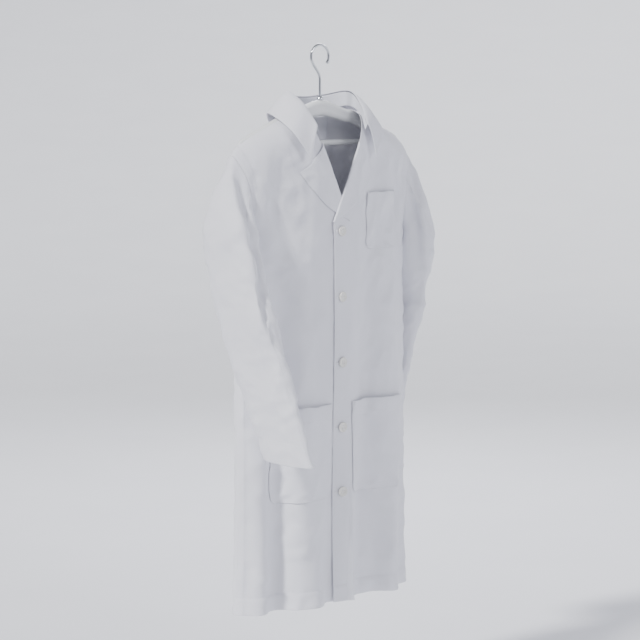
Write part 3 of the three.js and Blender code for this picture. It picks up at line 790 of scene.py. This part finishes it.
def double(distance, width):
    """The extra thickness of cloth that is turned in along an edge."""
    return STEP * (1 - smooth((distance - width) / 0.0012))


BAND = 0.93  # the share of a panel's columns that lie inside its seam band
SEAM_BAND = 0.012
BAND_LINES = [mix(BAND, 1, (SEAM_BAND - d) / SEAM_BAND) for d in (FELL + 0.0012, FELL)]


def hem_lines():
    return [rows_of(HEM[1] + d, 0) / (ROWS_LOW + ROWS_HIGH) for d in (HEM_TURN, HEM_TURN + 0.0012)]


def front_place(side):
    s = surfaces["front_" + side]

    def place(u, v):
        j = v * s.size[1]
        z = row_height(j, NECK[1])
        first, last = row_ends(j)
        wide = last - first
        start = columns_of(np.where(z < BREAK_Z, -LAP, roll_x(z) - first) / wide)
        band = columns_of(1 - SEAM_BAND / wide)
        i = np.where(u < BAND, mix(start, band, u / BAND), mix(band, s.size[0], (u - BAND) / (1 - BAND)))
        x = first + share_at(i) * wide
        lift = lap_level(side, x) + double(last - x, FELL) + double(z - HEM[1], HEM_TURN)
        return s.at(i, j) + s.normal(i, j) * (SIGN[side] * lift)[..., None]

    return place


def back_place(side):
    s = surfaces["back_" + side]

    def place(u, v):
        j = v * s.size[1]
        z = np.where(j < ROWS_LOW, mix(HEM[1], UNDER[1], j / ROWS_LOW), UNDER[1])
        band = s.size[0] - (SEAM_BAND / side_x(z)) * s.size[0] * 1.9
        i = np.where(u < BAND, mix(0.02, band, u / BAND), mix(band, s.size[0], (u - BAND) / (1 - BAND)))
        lift = double(z - HEM[1], HEM_TURN)
        return s.at(i, j) + s.normal(i, j) * (-SIGN[side] * lift)[..., None]

    return place


for side in ("left", "right"):
    mirrored = side == "right"
    place = front_place(side)
    panel = cloth(
        "front_panel_" + side, place, 34, 120, flip=mirrored, u_extra=BAND_LINES, v_extra=hem_lines()
    )
    declare(panel, "front_" + side, "front_" + side, "chest_" + side, "side_" + side)
    edge = 0.020
    sew("front_" + side, place, [(edge, 0.006), (edge, 0.735)], mirrored)
    sew("front_" + side, place, [(edge, 0.0405), (1.0, 0.0405)], mirrored)
    for near in (0.9405, 0.985):
        sew("front_" + side, place, [(near, 0.003), (near, 0.99)], mirrored)
    place = back_place(side)
    extra = {"u_extra": BAND_LINES, "v_extra": hem_lines()}
    panel = cloth("back_panel_" + side, place, 34, 120, flip=not mirrored, **extra)
    declare(panel, "coat", "back_" + side)
    sew("coat", place, [(0, 0.0405), (1.0, 0.0405)], not mirrored)
    sew("coat", place, [(0.016, 0.003), (0.016, 0.99)], not mirrored)
    sew("coat", place, [(0.02, 0.992), (0.98, 0.992)], not mirrored)

# ---- Facings inside the fronts and the back neck ----
FACING_WIDTH = 0.050
for side in ("left", "right"):
    def facing(u, v, side=side):
        z = mix(HEM[1] + 0.004, BREAK_Z - 0.01, v)
        x = mix(-LAP + 0.0012, FACING_WIDTH, u)
        return front(side, x, z, lap_level(side, x) - PLY)

    strip = cloth("facing_strip_" + side, facing, 8, 70, SHADED_INSIDE_TWILL, flip=side == "right")
    declare(strip, "front_" + side, "facing_" + side)


def neck_facing(u, v):
    x = mix(0.056, -0.056, u)
    top = neckline_z(np.abs(x)) - 0.002
    return back(x, mix(top - 0.050, top, v), -0.0028)


declare(cloth("neck_facing_inside", neck_facing, 24, 12, SHADED_INSIDE_TWILL), "coat", "neck_facing")


def label_place(u, v):
    return back(mix(0.017, -0.017, u), mix(-0.170, -0.146, v), -0.0046)


declare(
    cloth("size_label_blank", label_place, 10, 8, LABEL_TAPE, thick=0.0006),
    "coat", "size_label", slot="label_tape",
)


def loop_place(u, v):
    bow = np.sin(np.pi * u)
    return back(mix(0.030, -0.030, u), -0.177 - 0.009 * bow + 0.007 * v, -0.0046 - 0.0025 * bow)


loop = cloth("hanging_loop_tape", loop_place, 30, 3, LOOP_TAPE, thick=0.0011)
settle_on(loop, "coat", "loop_tape", "hanging_loop")


# ---- Lapels ----
LAPEL_TIP = (0.098, -0.238)
NOTCH = (0.074, -0.224)
GORGE_Z = -0.184
FOLD_RADIUS = 0.0022


def coons(u, v, bottom, top, left, right):
    corner = [f(t) for f, t in ((bottom, 0.0), (bottom, 1.0), (top, 0.0), (top, 1.0))]
    u, v = u[..., None], v[..., None]
    ends = mix(mix(corner[0], corner[1], u), mix(corner[2], corner[3], u), v)
    return mix(bottom(u[..., 0]), top(u[..., 0]), v) + mix(left(v[..., 0]), right(v[..., 0]), u) - ends


def straight(a, b):
    a, b = np.array(a), np.array(b)
    return lambda t: a + (b - a) * np.asarray(t)[..., None]


def through(*knots):
    """Straight stretches between knots, run through in proportion to their lengths."""
    knots = np.array(knots)
    run = along(knots)
    return lambda t: np.stack([np.interp(np.asarray(t) * run[-1], run, knots[:, k]) for k in (0, 1)], -1)


def bent(a, b, c):
    a, b, c = np.array(a), np.array(b), np.array(c)

    def at(t):
        t = np.asarray(t)[..., None]
        return a * (1 - t) ** 2 + 2 * b * t * (1 - t) + c * t * t

    return at


def lapel_place(side):
    start = (-LAP + 0.001, BREAK_Z + 0.001)
    toe = (start[0] + 0.004, start[1])
    roll = (float(roll_x(GORGE_Z)) + 0.001, GORGE_Z)
    lean = math.atan2(NECK[0] + LAP, NECK[1] - BREAK_Z)

    def place(u, v):
        across = np.sign(u) * np.abs(u) ** 1.5
        p = coons(
            across, v,
            straight(start, toe), through(roll, NOTCH, LAPEL_TIP),
            straight(start, roll), bent(toe, (0.048, -0.304), LAPEL_TIP),
        )
        x, z = p[..., 0], p[..., 1]
        away = np.maximum(x - roll_x(z), 0) * math.cos(lean)
        turn = np.minimum(away / FOLD_RADIUS, np.pi)
        flat = away - np.pi * FOLD_RADIUS
        past = np.where(flat < 0, -FOLD_RADIUS * np.sin(turn), flat) / math.cos(lean)
        settle_down = 1 - np.exp(-np.maximum(flat, 0) / 0.018)
        lift = mix(FOLD_RADIUS * (1 - np.cos(turn)), 1.5 * PLY, settle_down)
        x = roll_x(z) + mix(past, away / math.cos(lean), smooth(flat / 0.03))
        return front(side, x, z, lap_level(side, x) + lift)

    return place


for side in ("left", "right"):
    place = lapel_place(side)
    mirrored = side == "right"
    turned = cloth("lapel_" + side + "_turned", place, 22, 34, flip=mirrored)
    declare(turned, "coat", "lapel_" + side, held="folded")
    sew("coat", place, [(0.62, 0.03), (0.94, 0.30), (0.955, 0.6), (0.955, 0.955), (0.3, 0.955)], mirrored)

# ---- Collar ----
# Stations from the middle of the back round to the collar's point, as (neck seam, fold, push, edge);
# the push rounds the fall over the fold.
STATIONS = np.array([
    [(0, 0.049, -0.137), (0, 0.047, -0.099), (0, 0.066, -0.104), (0, 0.063, -0.170)],
    [(0.042, 0.040, -0.134), (0.044, 0.038, -0.095), (0.057, 0.058, -0.100), (0.062, 0.060, -0.168)],
    [(0.075, 0.006, -0.119), (0.076, 0.002, -0.088), (0.104, 0.012, -0.088), (0.116, 0.022, -0.128)],
    [(0.074, -0.034, -0.132), (0.072, -0.036, -0.112), (0.098, -0.050, -0.104), (0.118, -0.052, -0.160)],
    [(0.0602, -0.064, -0.162), (0.0644, -0.066, -0.152), (0.076, -0.078, -0.152), (0.084, -0.072, -0.214)],
])
RING = Surface(np.concatenate([STATIONS[:0:-1] * MIRROR, STATIONS]))


def collar_line(key, u):
    return RING.at(u * RING.size[0], np.full(np.shape(u), float(key)))


def stand_place(u, v):
    return mix(collar_line(0, u), collar_line(1, u), mix(0.10, 0.95, v)[..., None])


def leaf_place(u, v):
    """The fall turns tightly over the fold, then lies nearly straight down to its edge."""
    t = v[..., None] if np.ndim(v) else v
    fold, edge = collar_line(1, u) + np.array([0, 0, PLY]), collar_line(3, u)
    over = mix(fold, collar_line(2, u), 0.42)
    mid = mix(mix(fold, edge, 0.55), collar_line(2, u), 0.18)
    return fold * (1 - t) ** 3 + 3 * over * t * (1 - t) ** 2 + 3 * mid * t * t * (1 - t) + edge * t**3


declare(cloth("collar_stand_band", stand_place, 60, 8, SHADED_INSIDE_TWILL), "coat", "collar_stand", held="folded")
declare(cloth("collar_fall", leaf_place, 72, 18, thick=0.0016), "coat", "collar_leaf", held="folded")
sew("coat", leaf_place, [(0.012, 0.1), (0.012, 0.93), (0.5, 0.93), (0.988, 0.93), (0.988, 0.1)], out=0.0009)

# ---- Patch pockets ----
POCKETS = (
    ("pocket_patch_left", "left", "front_left", "pocket_left", 0.025, 0.150, -0.690, 0.185, 0.008, 0.022),
    ("pocket_patch_right", "right", "front_right", "pocket_right", 0.025, 0.150, -0.690, 0.185, 0.008, 0.022),
    ("breast_pocket_patch", "left", "coat", "breast_pocket", 0.072, 0.092, -0.282, 0.112, 0.005, 0.014),
)
POCKET_HEM = 0.026


def pocket_place(side, inner, width, top, height, bulge, corner):
    def place(u, v):
        up = height * v
        inset = corner - np.sqrt(np.maximum(corner**2 - np.maximum(corner - up, 0) ** 2, 0))
        x = inner + mix(inset, width - inset, u)
        puff = np.sin(np.pi * np.clip(u, 0, 1)) ** 0.8 * np.sin(np.pi / 2 * np.clip(v, 0, 1)) ** 1.4
        lift = 1.3 * PLY + bulge * puff + double(height - up, POCKET_HEM)
        return front(side, x, top - height + up, lap_level(side, x) + lift)

    return place


for name, side, body, of, inner, width, top, height, bulge, corner in POCKETS:
    place = pocket_place(side, inner, width, top, height, bulge, corner)
    mirrored = side == "right"
    turned = [1 - (POCKET_HEM + d) / height for d in (0, 0.0012)]
    low = [corner / height * t for t in (0.06, 0.14, 0.26, 0.42, 0.62, 0.82, 1.0)]
    declare(cloth(name, place, 22, 22, flip=mirrored, v_extra=turned + low), body, of)
    e, f, b = 0.0022 / width, 0.0022 / height, corner / height
    near, far = [(e, 1), (e, b), (e, b / 3), (2 * e, f)], [(1 - 2 * e, f), (1 - e, b / 3), (1 - e, b), (1 - e, 1)]
    sew(body, place, near + far, mirrored)
    sew(body, place, [(0.01, turned[0] - f), (0.99, turned[0] - f)], mirrored)
    for at in (e, 1 - e):
        for k in range(4):
            x = at + (0.0014 * k / width) * (1 if at < 0.5 else -1)
            sew(body, place, [(x, 1 - 4 * f), (x, 1 - 0.3 * f)], mirrored, pitch=0.0016, long=0.0016)

# ---- Half belt at the back ----
BELT_HALF, BELT_HEIGHT, BELT_Z, BELT_BUTTON = 0.112, 0.044, -0.520, 0.092


def belt_place(u, v):
    x = mix(-BELT_HALF, BELT_HALF, u)
    rounded = np.sqrt(np.clip((BELT_HALF + 0.002 - np.abs(x)) / 0.020, 0, 1))
    return back(x, BELT_Z + BELT_HEIGHT * (v - 0.5) * mix(0.35, 1, rounded), 1.6 * PLY)


ends = [t for k in (0.002, 0.005, 0.010, 0.015, 0.020) for t in (k / 0.224, 1 - k / 0.224)]
declare(cloth("half_belt", belt_place, 34, 8, thick=0.0018, flip=True, u_extra=ends), "coat", "back_belt")
for v in (0.1, 0.9):
    sew("coat", belt_place, [(0.012, v), (0.988, v)], flip=True, out=0.0010)

# ---- Sleeves ----
PIECES = {"upper": (-0.75, -0.25), "under": (-0.25, 0.25)}
CUFF_HEM = 0.040


def sleeve_place(side, first, last):
    def place(u, v):
        round_at = mix(first, last, u)
        length = along(sleeve(side, round_at, np.linspace(0, 1, 24).reshape((24,) + (1,) * np.ndim(round_at))))[-1]
        return sleeve(side, round_at, v, double((1 - v) * length, CUFF_HEM))

    return place


for side in ("left", "right"):
    mirrored = side == "right"
    for part, (first, last) in PIECES.items():
        place = sleeve_place(side, first, last)
        turned = [1 - (CUFF_HEM + d) / 0.5 for d in (0, 0.0012)]
        name = "sleeve_" + part + "_" + side
        piece = cloth(name + "_cloth", place, 30, 84, flip=mirrored, v_extra=turned)
        declare(piece, "sleeve_" + side, name)
        sew("sleeve_" + side, place, [(0.01, 0.925), (0.99, 0.925)], mirrored)
        sew("sleeve_" + side, place, [(0.02, 0.01), (0.02, 0.995)], mirrored)

    def cuff_inside(u, v, side=side):
        return sleeve(side, u, mix(0.925, 0.997, v), -PLY)

    turn_in = cloth("cuff_turning_" + side, cuff_inside, 60, 6, SHADED_INSIDE_TWILL, flip=mirrored)
    declare(turn_in, "sleeve_" + side, "cuff_hem_" + side)

# ---- Buttons ----
BUTTON_PROFILE = (
    (0, 0), (0.0080, 0), (0.0093, 0.0004), (0.0099, 0.0012), (0.0100, 0.0019), (0.0096, 0.0028),
    (0.0090, 0.0032), (0.0083, 0.0032), (0.0077, 0.0028), (0.0070, 0.0024), (0, 0.0022),
)
BUTTON_HOLE, HOLE_AT = 0.0009, 0.0024
TOP_BUTTON_Z, BUTTON_PITCH = -0.354, 0.128


def holed_button():
    """The button's points and faces: a turned disc with a rim and four holes cut through it."""
    bm = bmesh.new()
    for r, z in BUTTON_PROFILE:
        bm.verts.new((r, 0, z))
    bm.verts.ensure_lookup_table()
    for a, b in zip(bm.verts[:-1], bm.verts[1:]):
        bm.edges.new((a, b))
    bmesh.ops.spin(
        bm, geom=bm.verts[:] + bm.edges[:], cent=(0, 0, 0), axis=(0, 0, 1), angle=2 * math.pi, steps=40, use_duplicate=False
    )
    bmesh.ops.remove_doubles(bm, verts=bm.verts, dist=1e-6)
    bmesh.ops.recalc_face_normals(bm, faces=bm.faces)
    disc = bpy.data.meshes.new("disc")
    bm.to_mesh(disc)
    bm.free()
    cutter = bmesh.new()
    for sx in (-1, 1):
        for sy in (-1, 1):
            bmesh.ops.create_cone(
                cutter, cap_ends=True, segments=14, radius1=BUTTON_HOLE, radius2=BUTTON_HOLE, depth=0.01,
                matrix=Matrix.Translation((sx * HOLE_AT, sy * HOLE_AT, 0.001)),
            )
    holes = bpy.data.meshes.new("holes")
    cutter.to_mesh(holes)
    cutter.free()
    objects = [bpy.data.objects.new(m.name, m) for m in (disc, holes)]
    for obj in objects:
        bpy.context.scene.collection.objects.link(obj)
    cut = objects[0].modifiers.new("holes", "BOOLEAN")
    cut.operation, cut.object, cut.solver = "DIFFERENCE", objects[1], "EXACT"
    done = objects[0].evaluated_get(bpy.context.evaluated_depsgraph_get()).to_mesh()
    points = np.array([v.co[:] for v in done.vertices])
    faces = [list(p.vertices) for p in done.polygons]
    for obj in objects:
        bpy.data.objects.remove(obj)
    return points, faces


BUTTON_POINTS, BUTTON_FACES = holed_button()


def bevel_smooth(obj):
    """Sharp shading only where faces meet at more than 35 degrees."""
    obj.data.set_sharp_from_angle(angle=math.radians(35))


def sewn_button(name, body, of, place, u, v, flip, stand):
    """A button on its thread shank, standing on the surface at (u, v)."""
    e = 0.01
    at = place(np.array([u]), np.array([v]))[0]
    du = place(np.array([u + e]), np.array([v]))[0] - place(np.array([u - e]), np.array([v]))[0]
    dv = place(np.array([u]), np.array([v + e]))[0] - place(np.array([u]), np.array([v - e]))[0]
    n = np.cross(du, dv) * (-1 if flip else 1)
    n /= np.linalg.norm(n)
    side = np.cross(dv, n)
    side /= np.linalg.norm(side)
    frame_of = np.stack([side, np.cross(n, side), n], 1)
    spin = 0.3 * math.sin(7 * u + 31 * v)
    twist = np.array([[math.cos(spin), -math.sin(spin), 0], [math.sin(spin), math.cos(spin), 0], [0, 0, 1]])
    frame_of = frame_of @ twist
    points = at + (BUTTON_POINTS + (0, 0, stand)) @ frame_of.T
    disc = link(name + "_disc", points, BUTTON_FACES, RESIN)
    bevel_smooth(disc)
    settle_on(disc, body, "button_resin", of)
    threads = []
    for y in (-HOLE_AT, HOLE_AT):
        for lane in (-0.0003, 0.0003):
            x = np.linspace(-HOLE_AT, HOLE_AT, 9)
            over = stand + 0.0016 + 0.0011 * np.sqrt(1 - 0.96 * (x / HOLE_AT) ** 2)
            arc = np.stack([x, np.full(9, y + lane), over], -1)
            threads.append((arc, 0.0003))
    shank = np.array([(0, 0, -0.0002), (0, 0, stand * 0.5), (0, 0, stand + 0.0002)])
    threads.append((shank, 0.0013))
    for k, (path, radius) in enumerate(threads):
        piece = tube(name + "_thread_%d" % k, at + path @ frame_of.T, radius, THREAD, sides=8)
        settle_on(piece, body, "button_resin")


def at_front(side, lift=0.0):
    def place(u, v):
        return front(side, u, v, lap_level(side, u) + lift)

    return place


def buttonhole(name, z):
    """A buttonhole's ring of close satin stitch, lying across the lap."""
    turn = np.linspace(0, 2 * np.pi, 49)[:-1]
    half, wide = 0.0105, 0.0016
    x = np.clip(1.35 * half * np.cos(turn), -half, half) - 0.003 + 0.0006 * np.cos(turn)
    dz = wide * np.sin(turn)
    ring = front("left", x, z + dz, lap_level("left", x) + CLOTH / 2 + 0.0002)
    ridge = 0.0006 + 0.00012 * np.sin(12 * turn)
    path = np.concatenate([ring, ring[:1]])
    return tube(name, path, np.append(ridge, ridge[0]), THREAD, sides=8)


FRONT_SHANK, BELT_SHANK = 0.0016, 0.0018  # how high the buttons stand on their threads
FRONT_BUTTONS = 5

for k in range(FRONT_BUTTONS):
    z = TOP_BUTTON_Z - BUTTON_PITCH * k
    body = "coat" if k == 0 else "front_right"
    sewn_button("button_%d" % (k + 1), body, "button_%d" % (k + 1), at_front("left"), 0.0, z, False, FRONT_SHANK)
    settle_on(buttonhole("buttonhole_%d" % (k + 1), z), "front_left", "coat_cloth")

for side, sign in (("left", 1), ("right", -1)):
    u = (BELT_BUTTON * sign + BELT_HALF) / (2 * BELT_HALF)
    sewn_button("belt_button_" + side, "coat", "belt_button_" + side, belt_place, u, 0.5, True, BELT_SHANK)

finish_seams()

# ---- Hanger and hook ----
HOOK_BEND, HOOK_CENTRE, WIRE = 0.0225, -0.020, 0.0025
turn = np.linspace(-0.5, 3.45, 60)
bend = np.stack([HOOK_BEND * np.cos(turn), 0 * turn, HOOK_CENTRE + HOOK_BEND * np.sin(turn)], -1)
leave = bend[-1]
t = np.linspace(0, 1, 24)[1:, None]
knots = [leave, leave + (0.006, 0, -0.017), np.array([0, 0, -0.048]), np.array([0, 0, -0.066])]
sway = knots[0] * (1 - t) ** 3 + 3 * knots[1] * t * (1 - t) ** 2
sway = sway + 3 * knots[2] * t * t * (1 - t) + knots[3] * t**3
shank = np.stack([np.zeros(12), np.zeros(12), np.linspace(-0.068, -0.117, 12)], -1)
wire = tube("hook_wire_bend", np.concatenate([bend, sway, shank]), WIRE, CHROME, sides=20)
settle_on(wire, "hook", "hook_wire", "hook")
ball = np.linspace(0.06, np.pi - 0.06, 15)
onward = (bend[0] - bend[1]) / np.linalg.norm(bend[0] - bend[1])
tip = np.stack([bend[0] + onward * 0.0036 * math.cos(a) for a in ball])
settle_on(tube("hook_ball_tip", tip, 0.0036 * np.sin(ball), CHROME, sides=20), "hook", "hook_wire")
collar_z = np.array([-0.1035, -0.1035, -0.1028, -0.1012, -0.0990, -0.0974, -0.0968, -0.0968])
collar_r = np.array([0.0030, 0.0056, 0.0062, 0.0062, 0.0050, 0.0042, 0.0036, 0.0026])
collar_path = np.stack([0 * collar_z, 0 * collar_z, collar_z + np.arange(8) * 1e-5], -1)
ferrule = tube("hook_ferrule", collar_path, collar_r, CHROME, sides=28)
settle_on(ferrule, "hanger", "hook_wire")

HANGER_HALF, ARM_THICK, NECK_THICK = 0.206, 0.010, 0.009
ARM_HEIGHT, NECK_HEIGHT, NECK_TOP = 0.025, 0.030, -0.104


def hanger_body():
    """The moulded arms: a rounded bar along the shoulder line, thin at the ends, with a shallow channel."""
    end = np.array([0.0, 0.35, 0.65, 0.85, 0.95])
    x = np.concatenate([-HANGER_HALF + 0.012 * (1 - np.sqrt(1 - end**2)), np.linspace(-0.19, 0.19, 61)])
    x = np.concatenate([x, -x[4::-1]])
    out = smooth(np.abs(x) / NECK[0])
    top = mix(NECK_TOP, shoulder_z(np.maximum(np.abs(x), NECK[0])) - 0.0011, out)
    taper = mix(1, 0.5, smooth((np.abs(x) - HANGER_HALF + 0.04) / 0.04))
    inward = np.clip((HANGER_HALF - np.abs(x)) / 0.012, 0.02, 1)
    round_end = np.sqrt(inward * (2 - inward))
    tall = mix(NECK_HEIGHT, ARM_HEIGHT, out) / 2 * taper * round_end
    thick = mix(NECK_THICK, ARM_THICK, out) * taper * round_end
    a = np.linspace(0, 2 * np.pi, 36, endpoint=False)[None, :]
    centre = (top - mix(NECK_HEIGHT, ARM_HEIGHT, out) / 2 * taper)[:, None]
    c, s = np.cos(a), np.sin(a)
    channel = 1 - 0.16 * np.exp(-((s / 0.35) ** 2)) * smooth((HANGER_HALF - 0.03 - np.abs(x)) / 0.03)[:, None]
    y = thick[:, None] * np.sign(c) * np.abs(c) ** 0.75 * channel
    z = centre + tall[:, None] * np.sign(s) * np.abs(s) ** 0.85
    points = np.stack([x[:, None] + 0 * y, y, z], -1)
    index = np.arange(points.shape[0] * 36).reshape(-1, 36)
    around = np.concatenate([index, index[:, :1]], 1)
    faces = np.stack([around[:-1, :-1], around[1:, :-1], around[1:, 1:], around[:-1, 1:]], -1).reshape(-1, 4)
    faces = faces.tolist() + [index[0].tolist(), index[-1, ::-1].tolist()]
    return link("hanger_moulding", points.reshape(-1, 3), faces, MOULDED)


settle_on(hanger_body(), "hanger", "hanger_plastic", "hanger_frame")
BAR_HALF, BAR_Z, BAR_RADIUS = 0.182, -0.187, 0.0055
bar_line = np.stack([np.linspace(-BAR_HALF, BAR_HALF, 25), np.zeros(25), np.full(25, BAR_Z)], -1)
bar = tube("trouser_bar_tube", *domed(bar_line, BAR_RADIUS), MOULDED, sides=24)
settle_on(bar, "hanger", "hanger_plastic", "trouser_bar")

# ---- Stage, light and camera ----
FLOOR_Z = -1.30
floor_material, tree = finish_named("matt painted floor, pale grey")
grain = node(tree, "ShaderNodeTexNoise", {"Scale": 60.0}).outputs["Fac"]
tint = node(tree, "ShaderNodeMix", {"Factor": grain, 6: colour("#E8E9ED"), 7: colour("#E2E3E8")}, data_type="RGBA")
shade(tree, Base_Color=tint.outputs[2], Roughness=0.9)
turn = np.linspace(0, 2 * np.pi, 97)[:-1]
sweep = np.linspace(0, np.pi / 2, 9)
radii = np.concatenate([[0.01, 2.0, 4.0], 6.0 + 3.0 * np.sin(sweep), [9.0]])
heights = np.concatenate([[0, 0, 0], 3.0 * (1 - np.cos(sweep)), [5.0]]) + FLOOR_Z
around = [np.outer(np.cos(turn), radii), np.outer(np.sin(turn), radii)]
bowl = np.stack(around + [heights + 0 * turn[:, None]], -1)
index = np.arange(bowl.shape[0] * bowl.shape[1]).reshape(bowl.shape[:2])
floor = link("floor", bowl.reshape(-1, 3), quads(index, wrap=True), floor_material)

world = bpy.data.worlds.new("studio")
bpy.context.scene.world = world
world.use_nodes = True
world.node_tree.nodes["Background"].inputs["Color"].default_value = colour("#E6E8EE")
world.node_tree.nodes["Background"].inputs["Strength"].default_value = 0.42

CENTRE = Vector((0, 0, -0.535))


def soft_light(name, kind, direction, distance, size, power, tint):
    """A soft light that faces the coat; size is a panel's side in metres, or the sun's width in degrees."""
    data = bpy.data.lights.new(name, kind)
    data.energy, data.color = power, colour(tint)[:3]
    if kind == "AREA":
        data.size = size
    else:
        data.angle = math.radians(size)
    obj = bpy.data.objects.new(name, data)
    bpy.context.scene.collection.objects.link(obj)
    away = Vector(direction).normalized()
    obj.location = CENTRE + away * distance
    obj.rotation_euler = away.to_track_quat("Z", "Y").to_euler()


soft_light("key", "SUN", (-1.2, 0.02, 0.95), 4.0, 8, 4.4, "#FFFFFF")
soft_light("fill", "AREA", (0.2, -1.7, 1.1), 3.2, 0.9, 30, "#F1F2FB")
soft_light("rim", "AREA", (1.3, 1.2, 1.0), 3.0, 1.0, 62, "#F4F5FF")

AZIMUTH, ELEVATION, DISTANCE = math.radians(-41.5), math.radians(7), 4.2
camera_data = bpy.data.cameras.new("camera")
camera_data.lens = 120
camera_data.sensor_width = 36
camera = bpy.data.objects.new("camera", camera_data)
bpy.context.scene.collection.objects.link(camera)
toward = Vector(
    (
        math.sin(AZIMUTH) * math.cos(ELEVATION),
        -math.cos(AZIMUTH) * math.cos(ELEVATION),
        math.sin(ELEVATION),
    )
)
camera.location = CENTRE + toward * DISTANCE
camera.rotation_euler = toward.to_track_quat("Z", "Y").to_euler()
bpy.context.scene.camera = camera
